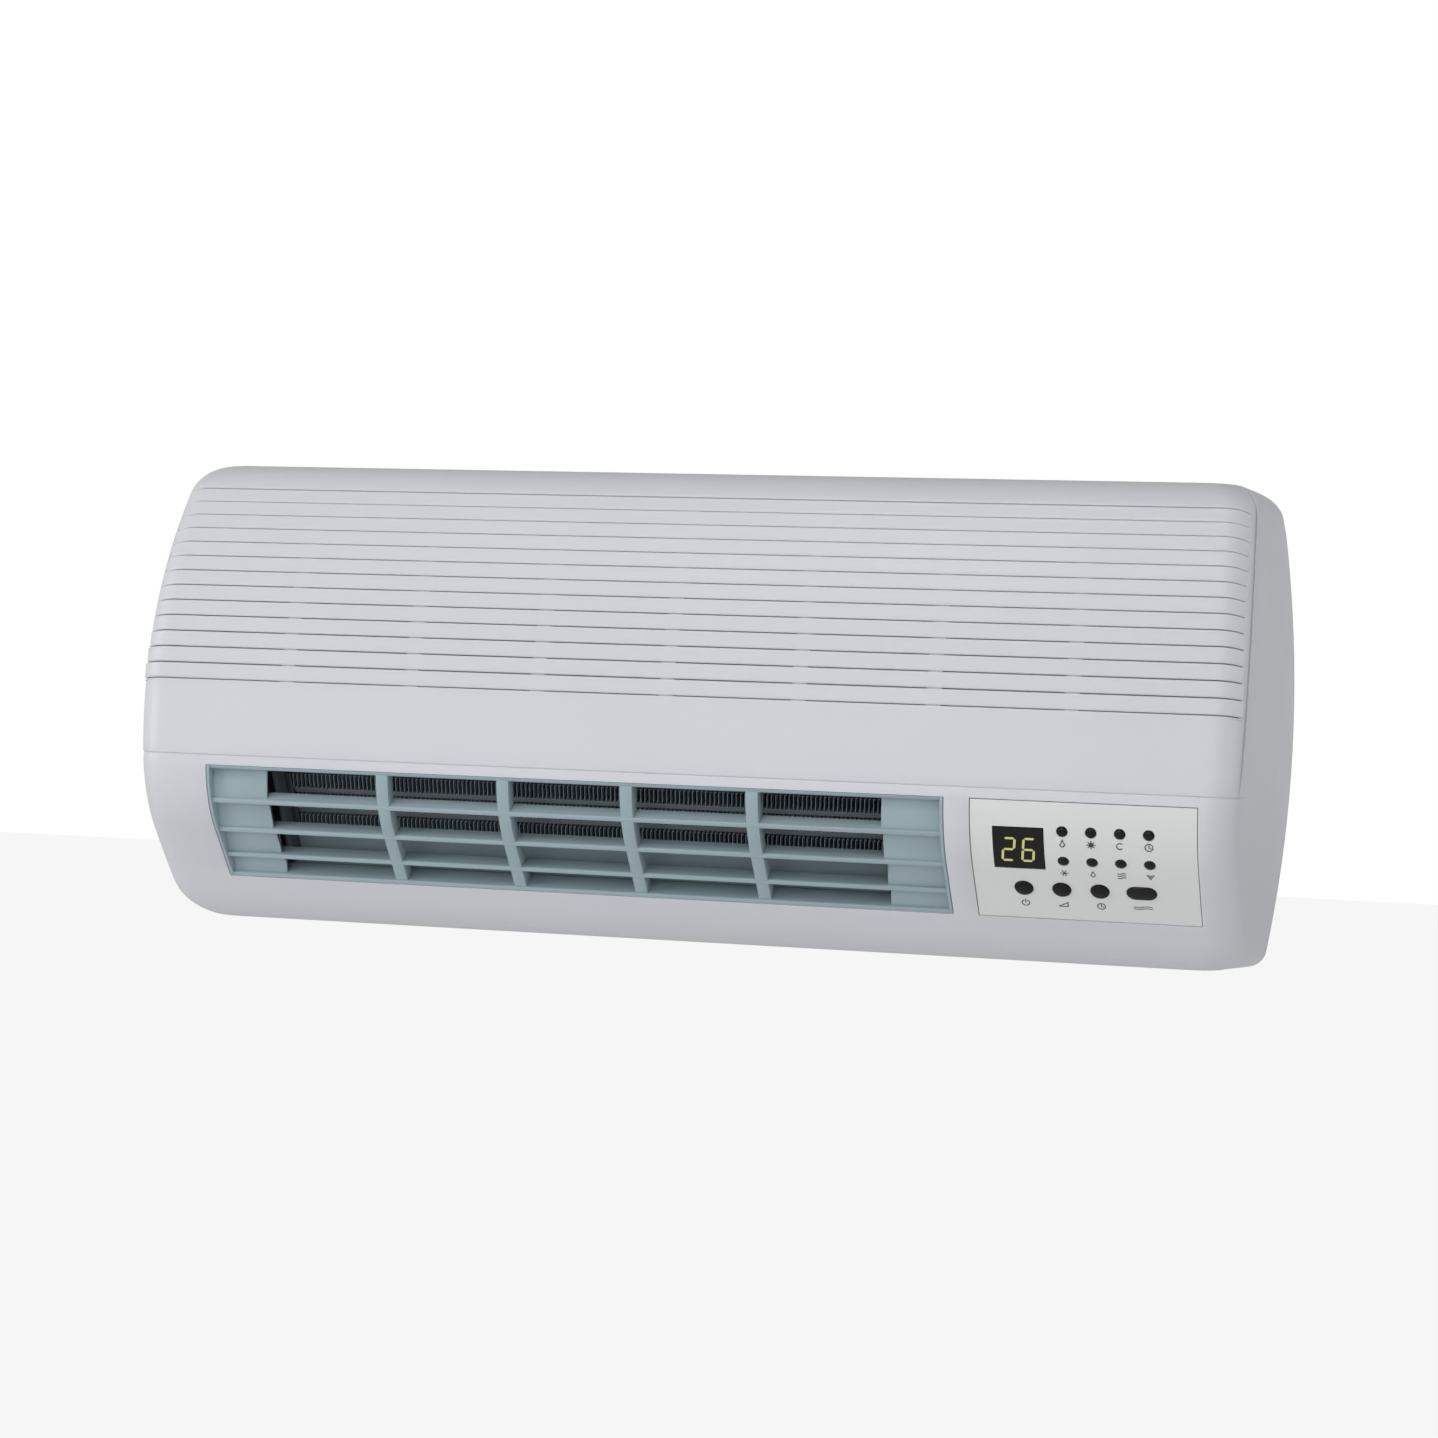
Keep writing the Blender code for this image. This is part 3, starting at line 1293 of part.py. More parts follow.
def board_part(name, left, up, width, tall, height, material):
    """A component on the power board, placed from the board's lower left corner."""
    near = POWER_BOARD_DEPTH + BOARD_THICK + GAP
    low = (BOARD_LEFT + left, near, BOARD_LOW + up)
    high = (low[0] + width, near + height, low[2] + tall)
    return box(name, low, high, material)


def make_power_board():
    """The supply board on its posts, with relays, transformer, capacitor and terminals."""
    low = (BOARD_LEFT, POWER_BOARD_DEPTH, BOARD_LOW)
    high = (
        BOARD_LEFT + POWER_BOARD_WIDTH,
        POWER_BOARD_DEPTH + BOARD_THICK,
        BOARD_LOW + POWER_BOARD_TALL,
    )
    box("power_board", low, high, BOARD_GREEN)
    board_part("terminal_block", 8 * MM, 4 * MM, 44 * MM, 14 * MM, 16 * MM, NYLON)
    board_part("relay_1", 14 * MM, 30 * MM, 19 * MM, 16 * MM, 16 * MM, BLACK)
    board_part("relay_2", 42 * MM, 30 * MM, 19 * MM, 16 * MM, 16 * MM, BLACK)
    board_part("transformer", 16 * MM, 66 * MM, 34 * MM, 30 * MM, 28 * MM, STEEL)
    capacitor = disc("smoothing_capacitor", 8 * MM, 22 * MM, 20, DARK_PLASTIC)
    near = POWER_BOARD_DEPTH + BOARD_THICK + GAP
    capacitor.matrix_world = out_of_wall(BOARD_LEFT + 76 * MM, near, BOARD_LOW + 80 * MM)


make_power_board()
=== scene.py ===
import math

import bmesh
import bpy
from mathutils import Matrix, Vector


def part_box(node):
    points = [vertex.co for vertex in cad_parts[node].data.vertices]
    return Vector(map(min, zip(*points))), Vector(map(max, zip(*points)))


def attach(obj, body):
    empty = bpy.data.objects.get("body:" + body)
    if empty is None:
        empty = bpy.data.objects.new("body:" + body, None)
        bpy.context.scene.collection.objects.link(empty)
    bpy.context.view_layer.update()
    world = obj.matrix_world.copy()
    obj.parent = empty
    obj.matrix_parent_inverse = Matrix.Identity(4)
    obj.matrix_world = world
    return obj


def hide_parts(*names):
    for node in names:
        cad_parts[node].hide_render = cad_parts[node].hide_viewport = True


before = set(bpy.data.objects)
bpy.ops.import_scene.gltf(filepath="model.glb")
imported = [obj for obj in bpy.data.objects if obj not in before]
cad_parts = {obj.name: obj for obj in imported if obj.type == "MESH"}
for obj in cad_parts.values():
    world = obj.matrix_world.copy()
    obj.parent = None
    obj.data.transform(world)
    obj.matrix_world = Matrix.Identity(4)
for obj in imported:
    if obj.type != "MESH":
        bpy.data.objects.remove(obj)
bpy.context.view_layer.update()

# ---------------------------------------------------------------------------
# Camera, floor and light
# The heater hangs in the air over a plain pale floor. The light is a bright
# even surround with four soft round lamps: in front, high in front, left, right.

CAMERA_AT = Vector((0.4641, -1.7011, -0.0051))
CAMERA_YAW = 15.45
CAMERA_ROLL = 2.19
CAMERA_LENS = 82.11
FLOOR_HEIGHT = -1.5
FLOOR_SEEN_WHITE = 0.85
SURROUND_FADE = (-0.4, 0.6)
SURROUND_STRENGTH = (1.2, 0.31)
LAMPS = (
    ("front lamp", (-0.3, -2.6, 0.2), 1.3, 9.6),
    ("high lamp", (-0.3, -1.85, 1.85), 1.3, 19.1),
    ("left lamp", (-2.3, -1.4, 0.2), 1.2, 16.3),
    ("right lamp", (2.5, -0.9, 0.2), 1.2, 4.6),
)


def place_camera():
    lens = bpy.data.cameras.new("camera")
    lens.lens = CAMERA_LENS
    lens.sensor_width = 36
    lens.clip_start = 0.05
    camera = bpy.data.objects.new("camera", lens)
    bpy.context.scene.collection.objects.link(camera)
    turn = Matrix.Rotation(math.radians(CAMERA_YAW), 4, "Z")
    tilt = Matrix.Rotation(math.radians(90), 4, "X")
    roll = Matrix.Rotation(math.radians(CAMERA_ROLL), 4, "Z")
    camera.matrix_world = Matrix.Translation(CAMERA_AT) @ turn @ tilt @ roll
    bpy.context.scene.camera = camera


def place_lamp(name, place, size, power):
    """A soft white disc that faces the middle of the heater."""
    light = bpy.data.lights.new(name, "AREA")
    light.shape = "DISK"
    light.size = size
    light.energy = power
    lamp = bpy.data.objects.new(name, light)
    bpy.context.scene.collection.objects.link(lamp)
    lamp.location = place
    lamp.rotation_euler = (-Vector(place)).to_track_quat("-Z", "Y").to_euler()


def light_surround():
    """A grey-white surround that the camera itself sees as plain white."""
    world = bpy.data.worlds.new("surround")
    world.use_nodes = True
    nodes, links = world.node_tree.nodes, world.node_tree.links
    seen = nodes["Background"]
    seen.inputs["Color"].default_value = (1, 1, 1, 1)
    seen.inputs["Strength"].default_value = 1
    lit = nodes.new("ShaderNodeBackground")
    lit.inputs["Color"].default_value = (0.97, 0.98, 1, 1)
    place = nodes.new("ShaderNodeTexCoord")
    axes = nodes.new("ShaderNodeSeparateXYZ")
    links.new(place.outputs["Generated"], axes.inputs["Vector"])
    fade = nodes.new("ShaderNodeMapRange")
    fade.inputs["From Min"].default_value = SURROUND_FADE[0]
    fade.inputs["From Max"].default_value = SURROUND_FADE[1]
    fade.inputs["To Min"].default_value = SURROUND_STRENGTH[0]
    fade.inputs["To Max"].default_value = SURROUND_STRENGTH[1]
    links.new(axes.outputs["Z"], fade.inputs["Value"])
    links.new(fade.outputs["Result"], lit.inputs["Strength"])
    mix = nodes.new("ShaderNodeMixShader")
    path = nodes.new("ShaderNodeLightPath")
    links.new(path.outputs["Is Camera Ray"], mix.inputs["Fac"])
    links.new(lit.outputs["Background"], mix.inputs[1])
    links.new(seen.outputs["Background"], mix.inputs[2])
    links.new(mix.outputs["Shader"], nodes["World Output"].inputs["Surface"])
    bpy.context.scene.world = world


def lay_floor():
    """A pale matt floor that the camera itself sees as nearly white."""
    mesh = bmesh.new()
    bmesh.ops.create_grid(mesh, x_segments=1, y_segments=1, size=30)
    data = bpy.data.meshes.new("floor")
    mesh.to_mesh(data)
    mesh.free()
    floor = bpy.data.objects.new("floor", data)
    floor.location.z = FLOOR_HEIGHT
    bpy.context.scene.collection.objects.link(floor)
    paint = bpy.data.materials.new("pale_floor")
    paint.use_nodes = True
    shader = paint.node_tree.nodes["Principled BSDF"]
    shader.inputs["Base Color"].default_value = (0.93, 0.93, 0.93, 1)
    shader.inputs["Roughness"].default_value = 0.8
    shader.inputs["Emission Color"].default_value = (1, 1, 1, 1)
    shader.inputs["Emission Strength"].default_value = 0.12
    nodes, links = paint.node_tree.nodes, paint.node_tree.links
    bright = nodes.new("ShaderNodeEmission")
    bright.inputs["Color"].default_value = (1, 1, 1, 1)
    bright.inputs["Strength"].default_value = 1
    seen = nodes.new("ShaderNodeMixShader")
    path = nodes.new("ShaderNodeLightPath")
    share = nodes.new("ShaderNodeMath")
    share.operation = "MULTIPLY"
    share.inputs[1].default_value = FLOOR_SEEN_WHITE
    links.new(path.outputs["Is Camera Ray"], share.inputs[0])
    links.new(share.outputs["Value"], seen.inputs["Fac"])
    links.new(shader.outputs["BSDF"], seen.inputs[1])
    links.new(bright.outputs["Emission"], seen.inputs[2])
    links.new(seen.outputs["Shader"], nodes["Material Output"].inputs["Surface"])
    data.materials.append(paint)


place_camera()
light_surround()
lay_floor()
for name, place, size, power in LAMPS:
    place_lamp(name, place, size, power)
bpy.context.scene.view_settings.view_transform = "Standard"

# ---------------------------------------------------------------------------
# Front housing
# One injection-moulded ABS shell, 2.2 mm thick: both cheeks, the top, the
# bottom and the chin below the intake panel, with the outlet and control
# fields moulded in. Its surface is satin, with a very fine spark texture.

MM = 0.001
HALF_WIDTH = 300 * MM
TOP = 122 * MM
BOTTOM = -122 * MM
FRONT = 128 * MM
NOSE_Z = -34 * MM
TOP_RADIUS = 28 * MM
BROW_ANGLE = 36
NOSE_RADIUS = 58 * MM
CHIN_ANGLE = 42
BOTTOM_RADIUS = 44 * MM
EDGE_RADIUS = 16 * MM
SHELL_WALL = 2.2 * MM
FIELD_TOP = -39.2 * MM
FIELD_BOTTOM = -97.7 * MM
GRILLE_LEFT, GRILLE_RIGHT = -246.3 * MM, 144 * MM
FASCIA_LEFT, FASCIA_RIGHT = 157.4 * MM, 268.1 * MM
FIELD_GAP = 0.4 * MM
SEAM_ANGLE = 72
PANEL_LIP_Z = NOSE_Z + 0.3 * MM
CHIN_LIP_Z = NOSE_Z + 0.9 * MM
SIDE_BOW = 11 * MM
SIDE_FLARE = 13.6 * MM
FLARE_POWER = 1.5
TOP_CORNER = 16 * MM
BOTTOM_CORNER_BACK = 8 * MM
BOTTOM_CORNER_GROWTH = 12 * MM


def sin(degrees):
    return math.sin(math.radians(degrees))


def cos(degrees):
    return math.cos(math.radians(degrees))


BROW_RADIUS = (TOP - TOP_RADIUS * (1 - sin(BROW_ANGLE)) - NOSE_Z) / sin(BROW_ANGLE)
BROW_TOP_Z = NOSE_Z + BROW_RADIUS * sin(BROW_ANGLE)
TOP_ARC_DEPTH = FRONT - BROW_RADIUS * (1 - cos(BROW_ANGLE)) - TOP_RADIUS * cos(BROW_ANGLE)
CHIN_TOP_Z = NOSE_Z - NOSE_RADIUS * sin(CHIN_ANGLE)
CHIN_TOP_DEPTH = FRONT - NOSE_RADIUS * (1 - cos(CHIN_ANGLE))
CHIN_LOW_Z = BOTTOM + BOTTOM_RADIUS * (1 - sin(CHIN_ANGLE))
CHIN_SLOPE = math.tan(math.radians(CHIN_ANGLE))
CHIN_LOW_DEPTH = CHIN_TOP_DEPTH - (CHIN_TOP_Z - CHIN_LOW_Z) * CHIN_SLOPE
BOTTOM_ARC_DEPTH = CHIN_LOW_DEPTH - BOTTOM_RADIUS * cos(CHIN_ANGLE)


def face_angle(z):
    """Tilt of the front's outward normal above the horizontal at height z."""
    if z > BROW_TOP_Z:
        return math.degrees(math.asin(min(1, (z - TOP + TOP_RADIUS) / TOP_RADIUS)))
    if z > NOSE_Z:
        return math.degrees(math.asin((z - NOSE_Z) / BROW_RADIUS))
    if z > CHIN_TOP_Z:
        return -math.degrees(math.asin((NOSE_Z - z) / NOSE_RADIUS))
    if z > CHIN_LOW_Z:
        return -CHIN_ANGLE
    return -math.degrees(math.asin(min(1, (BOTTOM + BOTTOM_RADIUS - z) / BOTTOM_RADIUS)))


def face_depth(z):
    """Distance of the front's surface from the wall at height z."""
    angle = face_angle(z)
    if z > BROW_TOP_Z:
        return TOP_ARC_DEPTH + TOP_RADIUS * cos(angle)
    if z > NOSE_Z:
        return FRONT - BROW_RADIUS * (1 - cos(angle))
    if z > CHIN_TOP_Z:
        return FRONT - NOSE_RADIUS * (1 - cos(angle))
    if z > CHIN_LOW_Z:
        return CHIN_TOP_DEPTH - (CHIN_TOP_Z - z) * CHIN_SLOPE
    return BOTTOM_ARC_DEPTH + BOTTOM_RADIUS * cos(angle)


def cheek_x(depth, z):
    """Half width of the body: bowed up and down, flared out towards the wall."""
    bow = SIDE_BOW * (z / TOP) ** 2
    flare = SIDE_FLARE * (max(0, depth) / FRONT) ** FLARE_POWER
    if z > 0:
        corner = TOP_CORNER
        over = z - TOP + corner
    else:
        corner = BOTTOM_CORNER_BACK + BOTTOM_CORNER_GROWTH * min(1, depth / BOTTOM_ARC_DEPTH)
        over = BOTTOM + corner - z
    rolled = corner - math.sqrt(max(0, corner**2 - over**2)) if over > 0 else 0
    return HALF_WIDTH - bow - flare - rolled


def edge_point(z, angle, sink=0.0):
    """(half width, depth) on the rounded edge between front and cheek, sunk inwards."""
    side_depth = face_depth(z) - EDGE_RADIUS
    half = cheek_x(side_depth, z) - EDGE_RADIUS
    reach = EDGE_RADIUS - sink
    return half + reach * sin(angle), side_depth + reach * cos(angle)


def steps(start, end, count):
    return [start + (end - start) * index / count for index in range(count + 1)]


def top_arc_z(angle):
    return TOP - TOP_RADIUS * (1 - sin(angle))


def brow_z(angle):
    return NOSE_Z + BROW_RADIUS * sin(angle)


def nose_z(angle):
    return NOSE_Z - NOSE_RADIUS * sin(angle)


def bottom_arc_z(angle):
    return BOTTOM + BOTTOM_RADIUS * (1 - sin(angle))


def noise_node(nodes, links, scale, detail, rough):
    place = nodes.new("ShaderNodeTexCoord")
    noise = nodes.new("ShaderNodeTexNoise")
    noise.inputs["Scale"].default_value = scale
    noise.inputs["Detail"].default_value = detail
    noise.inputs["Roughness"].default_value = rough
    links.new(place.outputs["Object"], noise.inputs["Vector"])
    return noise


def spread(nodes, links, noise, low, high):
    """The noise's value, spread between two numbers."""
    spread_node = nodes.new("ShaderNodeMapRange")
    spread_node.inputs["From Min"].default_value = 0.25
    spread_node.inputs["From Max"].default_value = 0.75
    spread_node.inputs["To Min"].default_value = low
    spread_node.inputs["To Max"].default_value = high
    links.new(noise.outputs["Fac"], spread_node.inputs["Value"])
    return spread_node.outputs["Result"]


def finish_material(name, colour, shift, roughness, metallic=0.0, grain=900, depth=0.03, **sockets):
    """A surface with a faint drift of colour and gloss, and a fine moulded or rolled grain."""
    material = bpy.data.materials.new(name)
    material.use_nodes = True
    nodes, links = material.node_tree.nodes, material.node_tree.links
    shader = nodes["Principled BSDF"]
    shader.inputs["Metallic"].default_value = metallic
    for socket, value in sockets.items():
        shader.inputs[socket.replace("_", " ")].default_value = value
    drift = noise_node(nodes, links, 9, 4, 0.6)
    tint = nodes.new("ShaderNodeMix")
    tint.data_type = "RGBA"
    tint.inputs["A"].default_value = (*[channel * (1 - shift) for channel in colour], 1)
    tint.inputs["B"].default_value = (*[min(1, channel * (1 + shift)) for channel in colour], 1)
    links.new(spread(nodes, links, drift, 0, 1), tint.inputs["Factor"])
    links.new(tint.outputs["Result"], shader.inputs["Base Color"])
    worn = noise_node(nodes, links, 35, 3, 0.55)
    gloss = spread(nodes, links, worn, roughness * 0.9, roughness * 1.1)
    links.new(gloss, shader.inputs["Roughness"])
    spark = noise_node(nodes, links, grain, 2, 0.5)
    bump = nodes.new("ShaderNodeBump")
    bump.inputs["Strength"].default_value = depth
    bump.inputs["Distance"].default_value = 0.1 * MM
    links.new(spark.outputs["Fac"], bump.inputs["Height"])
    links.new(bump.outputs["Normal"], shader.inputs["Normal"])
    return material


def piece(name, mesh, material, sharp=38):
    """Links a bmesh as an object at the origin, with its place in its mesh."""
    data = bpy.data.meshes.new(name)
    mesh.to_mesh(data)
    mesh.free()
    data.materials.append(material)
    obj = bpy.data.objects.new(name, data)
    bpy.context.scene.collection.objects.link(obj)
    shade(data, sharp)
    return obj


def shade(data, sharp):
    data.shade_smooth()
    data.set_sharp_from_angle(angle=math.radians(sharp))


def solid_wall(obj, thickness, even=True):
    wall = obj.modifiers.new("wall", "SOLIDIFY")
    wall.thickness = thickness
    wall.offset = -1
    wall.use_even_offset = even


def soft_edges(obj, width, segments=2, angle=50):
    bevel = obj.modifiers.new("soft edges", "BEVEL")
    bevel.width = width
    bevel.segments = segments
    bevel.limit_method = "ANGLE"
    bevel.angle_limit = math.radians(angle)
    bevel.use_clamp_overlap = True


def settle(obj, sharp=38):
    """Turns the object's modifiers into plain mesh and shades it."""
    graph = bpy.context.evaluated_depsgraph_get()
    done = bpy.data.meshes.new_from_object(obj.evaluated_get(graph))
    done.name = obj.name
    obj.modifiers.clear()
    obj.data = done
    shade(done, sharp)
    return obj


def skin(name, rows, skip, material):
    """Faces over a grid of (x, depth, z) points, leaving out cells that skip names."""
    mesh = bmesh.new()
    grid = [[mesh.verts.new((x, -depth, z)) for x, depth, z in row] for row in rows]
    for r in range(len(grid) - 1):
        for c in range(len(grid[0]) - 1):
            if not skip(r, c):
                mesh.faces.new((grid[r][c], grid[r + 1][c], grid[r + 1][c + 1], grid[r][c + 1]))
    return mesh, grid


white_abs = finish_material(
    "white_abs", (0.595, 0.602, 0.635), 0.012, 0.40, grain=1400, depth=0.02, Specular_IOR_Level=0.4
)


def housing_rows():
    """(height, sink) of each row, top to bottom: the chin's lip is rolled in a little."""
    heights = [top_arc_z(angle) for angle in steps(90, BROW_ANGLE, 11)]
    heights += [brow_z(angle) for angle in steps(BROW_ANGLE, 3, 12)[1:]]
    rows = [(z, 0) for z in heights]
    rows.append((CHIN_LIP_Z, 1.2 * MM))
    rows.append((CHIN_LIP_Z - 0.5 * MM, 0.7 * MM))
    for share in (0.2, 0.4, 0.7):
        z = CHIN_LIP_Z + (FIELD_TOP + FIELD_GAP - CHIN_LIP_Z) * share
        rows.append((z, 0.5 * MM * (1 - share) ** 2))
    rows.append((FIELD_TOP + FIELD_GAP, 0))
    heights = [nose_z(angle) for angle in steps(8, CHIN_ANGLE, 12)]
    heights += steps(CHIN_TOP_Z, FIELD_BOTTOM - FIELD_GAP, 4)[1:]
    heights += steps(FIELD_BOTTOM - FIELD_GAP, CHIN_LOW_Z, 2)[1:]
    heights += [bottom_arc_z(angle) for angle in steps(CHIN_ANGLE, 90, 12)[1:]]
    return rows + [(z, 0) for z in heights]


def housing_section(z, sink, fields, flange):
    side_depth = face_depth(z) - EDGE_RADIUS
    half = []
    for share in (0, 0.2, 0.4, 0.6, 0.8, 0.93):
        depth = 1 * MM + (side_depth - 1 * MM) * share
        half.append((cheek_x(depth, z), depth))
    seam = SEAM_ANGLE + 2.8
    half.append(edge_point(z, seam + 7.6, sink))
    for turn, tuck in ((0, 0), (0.8, 0.6), (2.2, 2.0), (4, 3.2)):
        half.append(edge_point(z, seam - turn, max(sink, tuck * MM * flange)))
    for angle in steps(63, 0, 7):
        half.append(edge_point(z, angle, sink))
    row = [(-x, depth, z) for x, depth in half]
    row += [(min(x, half[-1][0] - 1 * MM), half[-1][1], z) for x in fields]
    return row + [(x, depth, z) for x, depth in reversed(half)]


def mould_front_housing():
    fields = [
        GRILLE_LEFT - FIELD_GAP,
        GRILLE_RIGHT + FIELD_GAP,
        FASCIA_LEFT - FIELD_GAP,
        FASCIA_RIGHT + FIELD_GAP,
    ]
    levels = housing_rows()
    heights = [z for z, _ in levels]
    panel_top = min(range(len(heights)), key=lambda i: abs(heights[i] - top_arc_z(81)))
    panel_low = heights.index(CHIN_LIP_Z)
    rows = []
    for r, (z, sink) in enumerate(levels):
        rows.append(housing_section(z, sink, fields, 1 if panel_top < r < panel_low else 0))
    field_top = heights.index(FIELD_TOP + FIELD_GAP)
    field_low = heights.index(FIELD_BOTTOM - FIELD_GAP)
    seam_column = 10
    last = len(rows[0]) - 1
    first_field = last // 2 - 1

    def open_cell(r, c):
        behind_panel = panel_top <= r < panel_low and seam_column <= c < last - seam_column
        in_field = field_top <= r < field_low and c in (first_field, first_field + 2)
        return behind_panel or in_field

    mesh, grid = skin("front_housing", rows, open_cell, white_abs)
    mesh.faces.new(grid[0])
    mesh.faces.new(list(reversed(grid[-1])))
    loose = [vert for vert in mesh.verts if not vert.link_faces]
    bmesh.ops.delete(mesh, geom=loose, context="VERTS")
    housing = piece("front_housing_shell", mesh, white_abs)
    solid_wall(housing, SHELL_WALL)
    soft_edges(housing, 0.45 * MM)
    return settle(housing)


front_housing = mould_front_housing()
SCREW_PITCH = 200 * MM
SCREW_XS = (-SCREW_PITCH, 0, SCREW_PITCH)
SCREW_DEPTH = 8 * MM


def sink_screw_seats():
    """Countersunk seats in the bottom of the shell for the three closing screws."""
    mesh = bmesh.new()
    for x in SCREW_XS:
        bmesh.ops.create_cone(
            mesh,
            cap_ends=True,
            segments=32,
            radius1=4.2 * MM,
            radius2=2 * MM,
            depth=2.4 * MM,
            matrix=Matrix.Translation((x, -SCREW_DEPTH, BOTTOM + 1 * MM)),
        )
    cutter = piece("screw_seat_cutter", mesh, white_abs)
    cut = front_housing.modifiers.new("seats", "BOOLEAN")
    cut.object = cutter
    cut.operation = "DIFFERENCE"
    cut.solver = "EXACT"
    settle(front_housing)
    bpy.data.objects.remove(cutter)


sink_screw_seats()
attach(front_housing, "housing")
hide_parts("front_housing")

# ---------------------------------------------------------------------------
# Intake panel
# The upper front: a separate white moulding that curls round into the seams
# beside the cheeks. Its frame is a top strip, two narrow side strips and a
# smooth lower band whose lip rolls in over the chin.

SLOTS = 14
SLOT_ANGLES = (35.3, 9.3)
SLOT_PITCH = (SLOT_ANGLES[0] - SLOT_ANGLES[1]) / (SLOTS - 1)
SLOT_OPENING = 0.65 * MM
HALF_SLOT_ANGLE = math.degrees(SLOT_OPENING / 2 / BROW_RADIUS)
STRIP_ANGLE = 50
LIP_RADIUS = 0.9 * MM
PANEL_TOP_ANGLE = 80.4
EDGE_CURL = (2.1 * MM, 1.0 * MM, 0.35 * MM)
CURL_ENDS_AT = 76
CURL_FADE = 30


def panel_rows():
    """(height, droop share, sink) of each row of the panel's frame."""
    rows = []
    for angle in steps(PANEL_TOP_ANGLE, BROW_ANGLE, 11):
        droop = (PANEL_TOP_ANGLE - angle) / (PANEL_TOP_ANGLE - BROW_ANGLE)
        rows.append((top_arc_z(angle), droop, 0))
    rows.append((brow_z(SLOT_ANGLES[0] + HALF_SLOT_ANGLE), 1, 0))
    first = len(rows) - 1
    for angle in steps(SLOT_ANGLES[0], SLOT_ANGLES[1], 13):
        rows.append((brow_z(angle), 1, 0))
    rows.append((brow_z(SLOT_ANGLES[1] - HALF_SLOT_ANGLE), 1, 0))
    last = len(rows) - 1
    for z in steps(rows[-1][0], PANEL_LIP_Z + LIP_RADIUS, 8)[1:]:
        rows.append((z, 1, 0))
    for angle in (25, 45, 62, 76):
        z = PANEL_LIP_Z + LIP_RADIUS * (1 - sin(angle))
        rows.append((z, 1, LIP_RADIUS * (1 - cos(angle))))
    return rows, first, last


def panel_point(z, droop, sink, angle, side):
    """A point on the rounded edge; the rows sag a little as they wrap round it."""
    tilt = face_angle(z)
    sag = droop * EDGE_RADIUS * (1 - cos(angle)) * cos(tilt) * sin(tilt)
    x, depth = edge_point(z - sag, angle, sink)
    return side * x, depth, z - sag


def mould_panel_frame():
    """The frame's skin, its side edges curled in, thickened and with its edges broken."""
    levels, first, last_slot = panel_rows()
    angles = [SEAM_ANGLE - 2.4, 68.6, 67, 64.5, 57, STRIP_ANGLE, 42, 34, 26, 18, 10, 0]
    curl = dict(zip(angles, EDGE_CURL))
    rows = []
    for z, droop, sink in levels:
        left = []
        curled = min(1, max(0, (CURL_ENDS_AT - face_angle(z)) / CURL_FADE))
        for angle in angles:
            rolled = max(sink, curl.get(angle, 0) * curled)
            left.append(panel_point(z, droop, rolled, angle, -1))
        rows.append(left + [(-x, depth, z) for x, depth, z in reversed(left)])
    strip = angles.index(STRIP_ANGLE)
    last = len(rows[0]) - 1
    mesh, _ = skin(
        "panel", rows, lambda r, c: first <= r < last_slot and strip <= c < last - strip, white_abs
    )
    loose = [vert for vert in mesh.verts if not vert.link_faces]
    bmesh.ops.delete(mesh, geom=loose, context="VERTS")
    panel = piece("intake_panel_frame", mesh, white_abs)
    solid_wall(panel, SHELL_WALL, even=False)
    soft_edges(panel, 0.35 * MM)
    return settle(panel)


panel_frame = mould_panel_frame()
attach(panel_frame, "housing")
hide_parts("intake_panel")

# ---------------------------------------------------------------------------
# Intake slats and their ties
# Thirteen louvre slats in one piece with the panel: each has a flat face, and
# a root that turns in behind the slat above it, so air gets in but the eye
# doesn't. A sill closes the last slot, and seven upright ties run behind.

SLAT_PITCH = BROW_RADIUS * math.radians(SLOT_PITCH)
SLAT_END_ANGLE = 51.6
SLAT_MIDDLE_ANGLE = 22
SLAT_BOW = 0.033


def slat_profile():
    """(down, out) points round one slat, from the slot above it to the slot below."""
    top, low = SLOT_OPENING / 2, SLAT_PITCH - SLOT_OPENING / 2
    return [
        (top + 2.1 * MM, 0),
        (low - 1.6 * MM, -0.02 * MM),
        (low - 0.5 * MM, -0.2 * MM),
        (low, -0.5 * MM),
        (low, -1.3 * MM),
        (low - 0.5 * MM, -1.5 * MM),
        (top + 1.6 * MM, -2.2 * MM),
        (top - 3.4 * MM, -6.1 * MM),
        (top - 4.1 * MM, -5.3 * MM),
        (top - 0.25 * MM, -1.55 * MM),
        (top - 0.02 * MM, -0.75 * MM),
        (top + 0.05 * MM, -0.15 * MM),
        (top + 0.25 * MM, 0.2 * MM),
        (top + 0.7 * MM, 0.3 * MM),
        (top + 1.3 * MM, 0.18 * MM),
    ]


def sill_profile():
    """The root alone, for the last slot, whose lower edge is the panel's own band."""
    top = SLOT_OPENING / 2
    return [
        (top + 0.6 * MM, -0.6 * MM),
        (top + 1.6 * MM, -2.2 * MM),
        (top - 3.4 * MM, -6.1 * MM),
        (top - 4.1 * MM, -5.3 * MM),
        (top - 0.2 * MM, -1.55 * MM),
        (top + 0.15 * MM, -0.75 * MM),
    ]


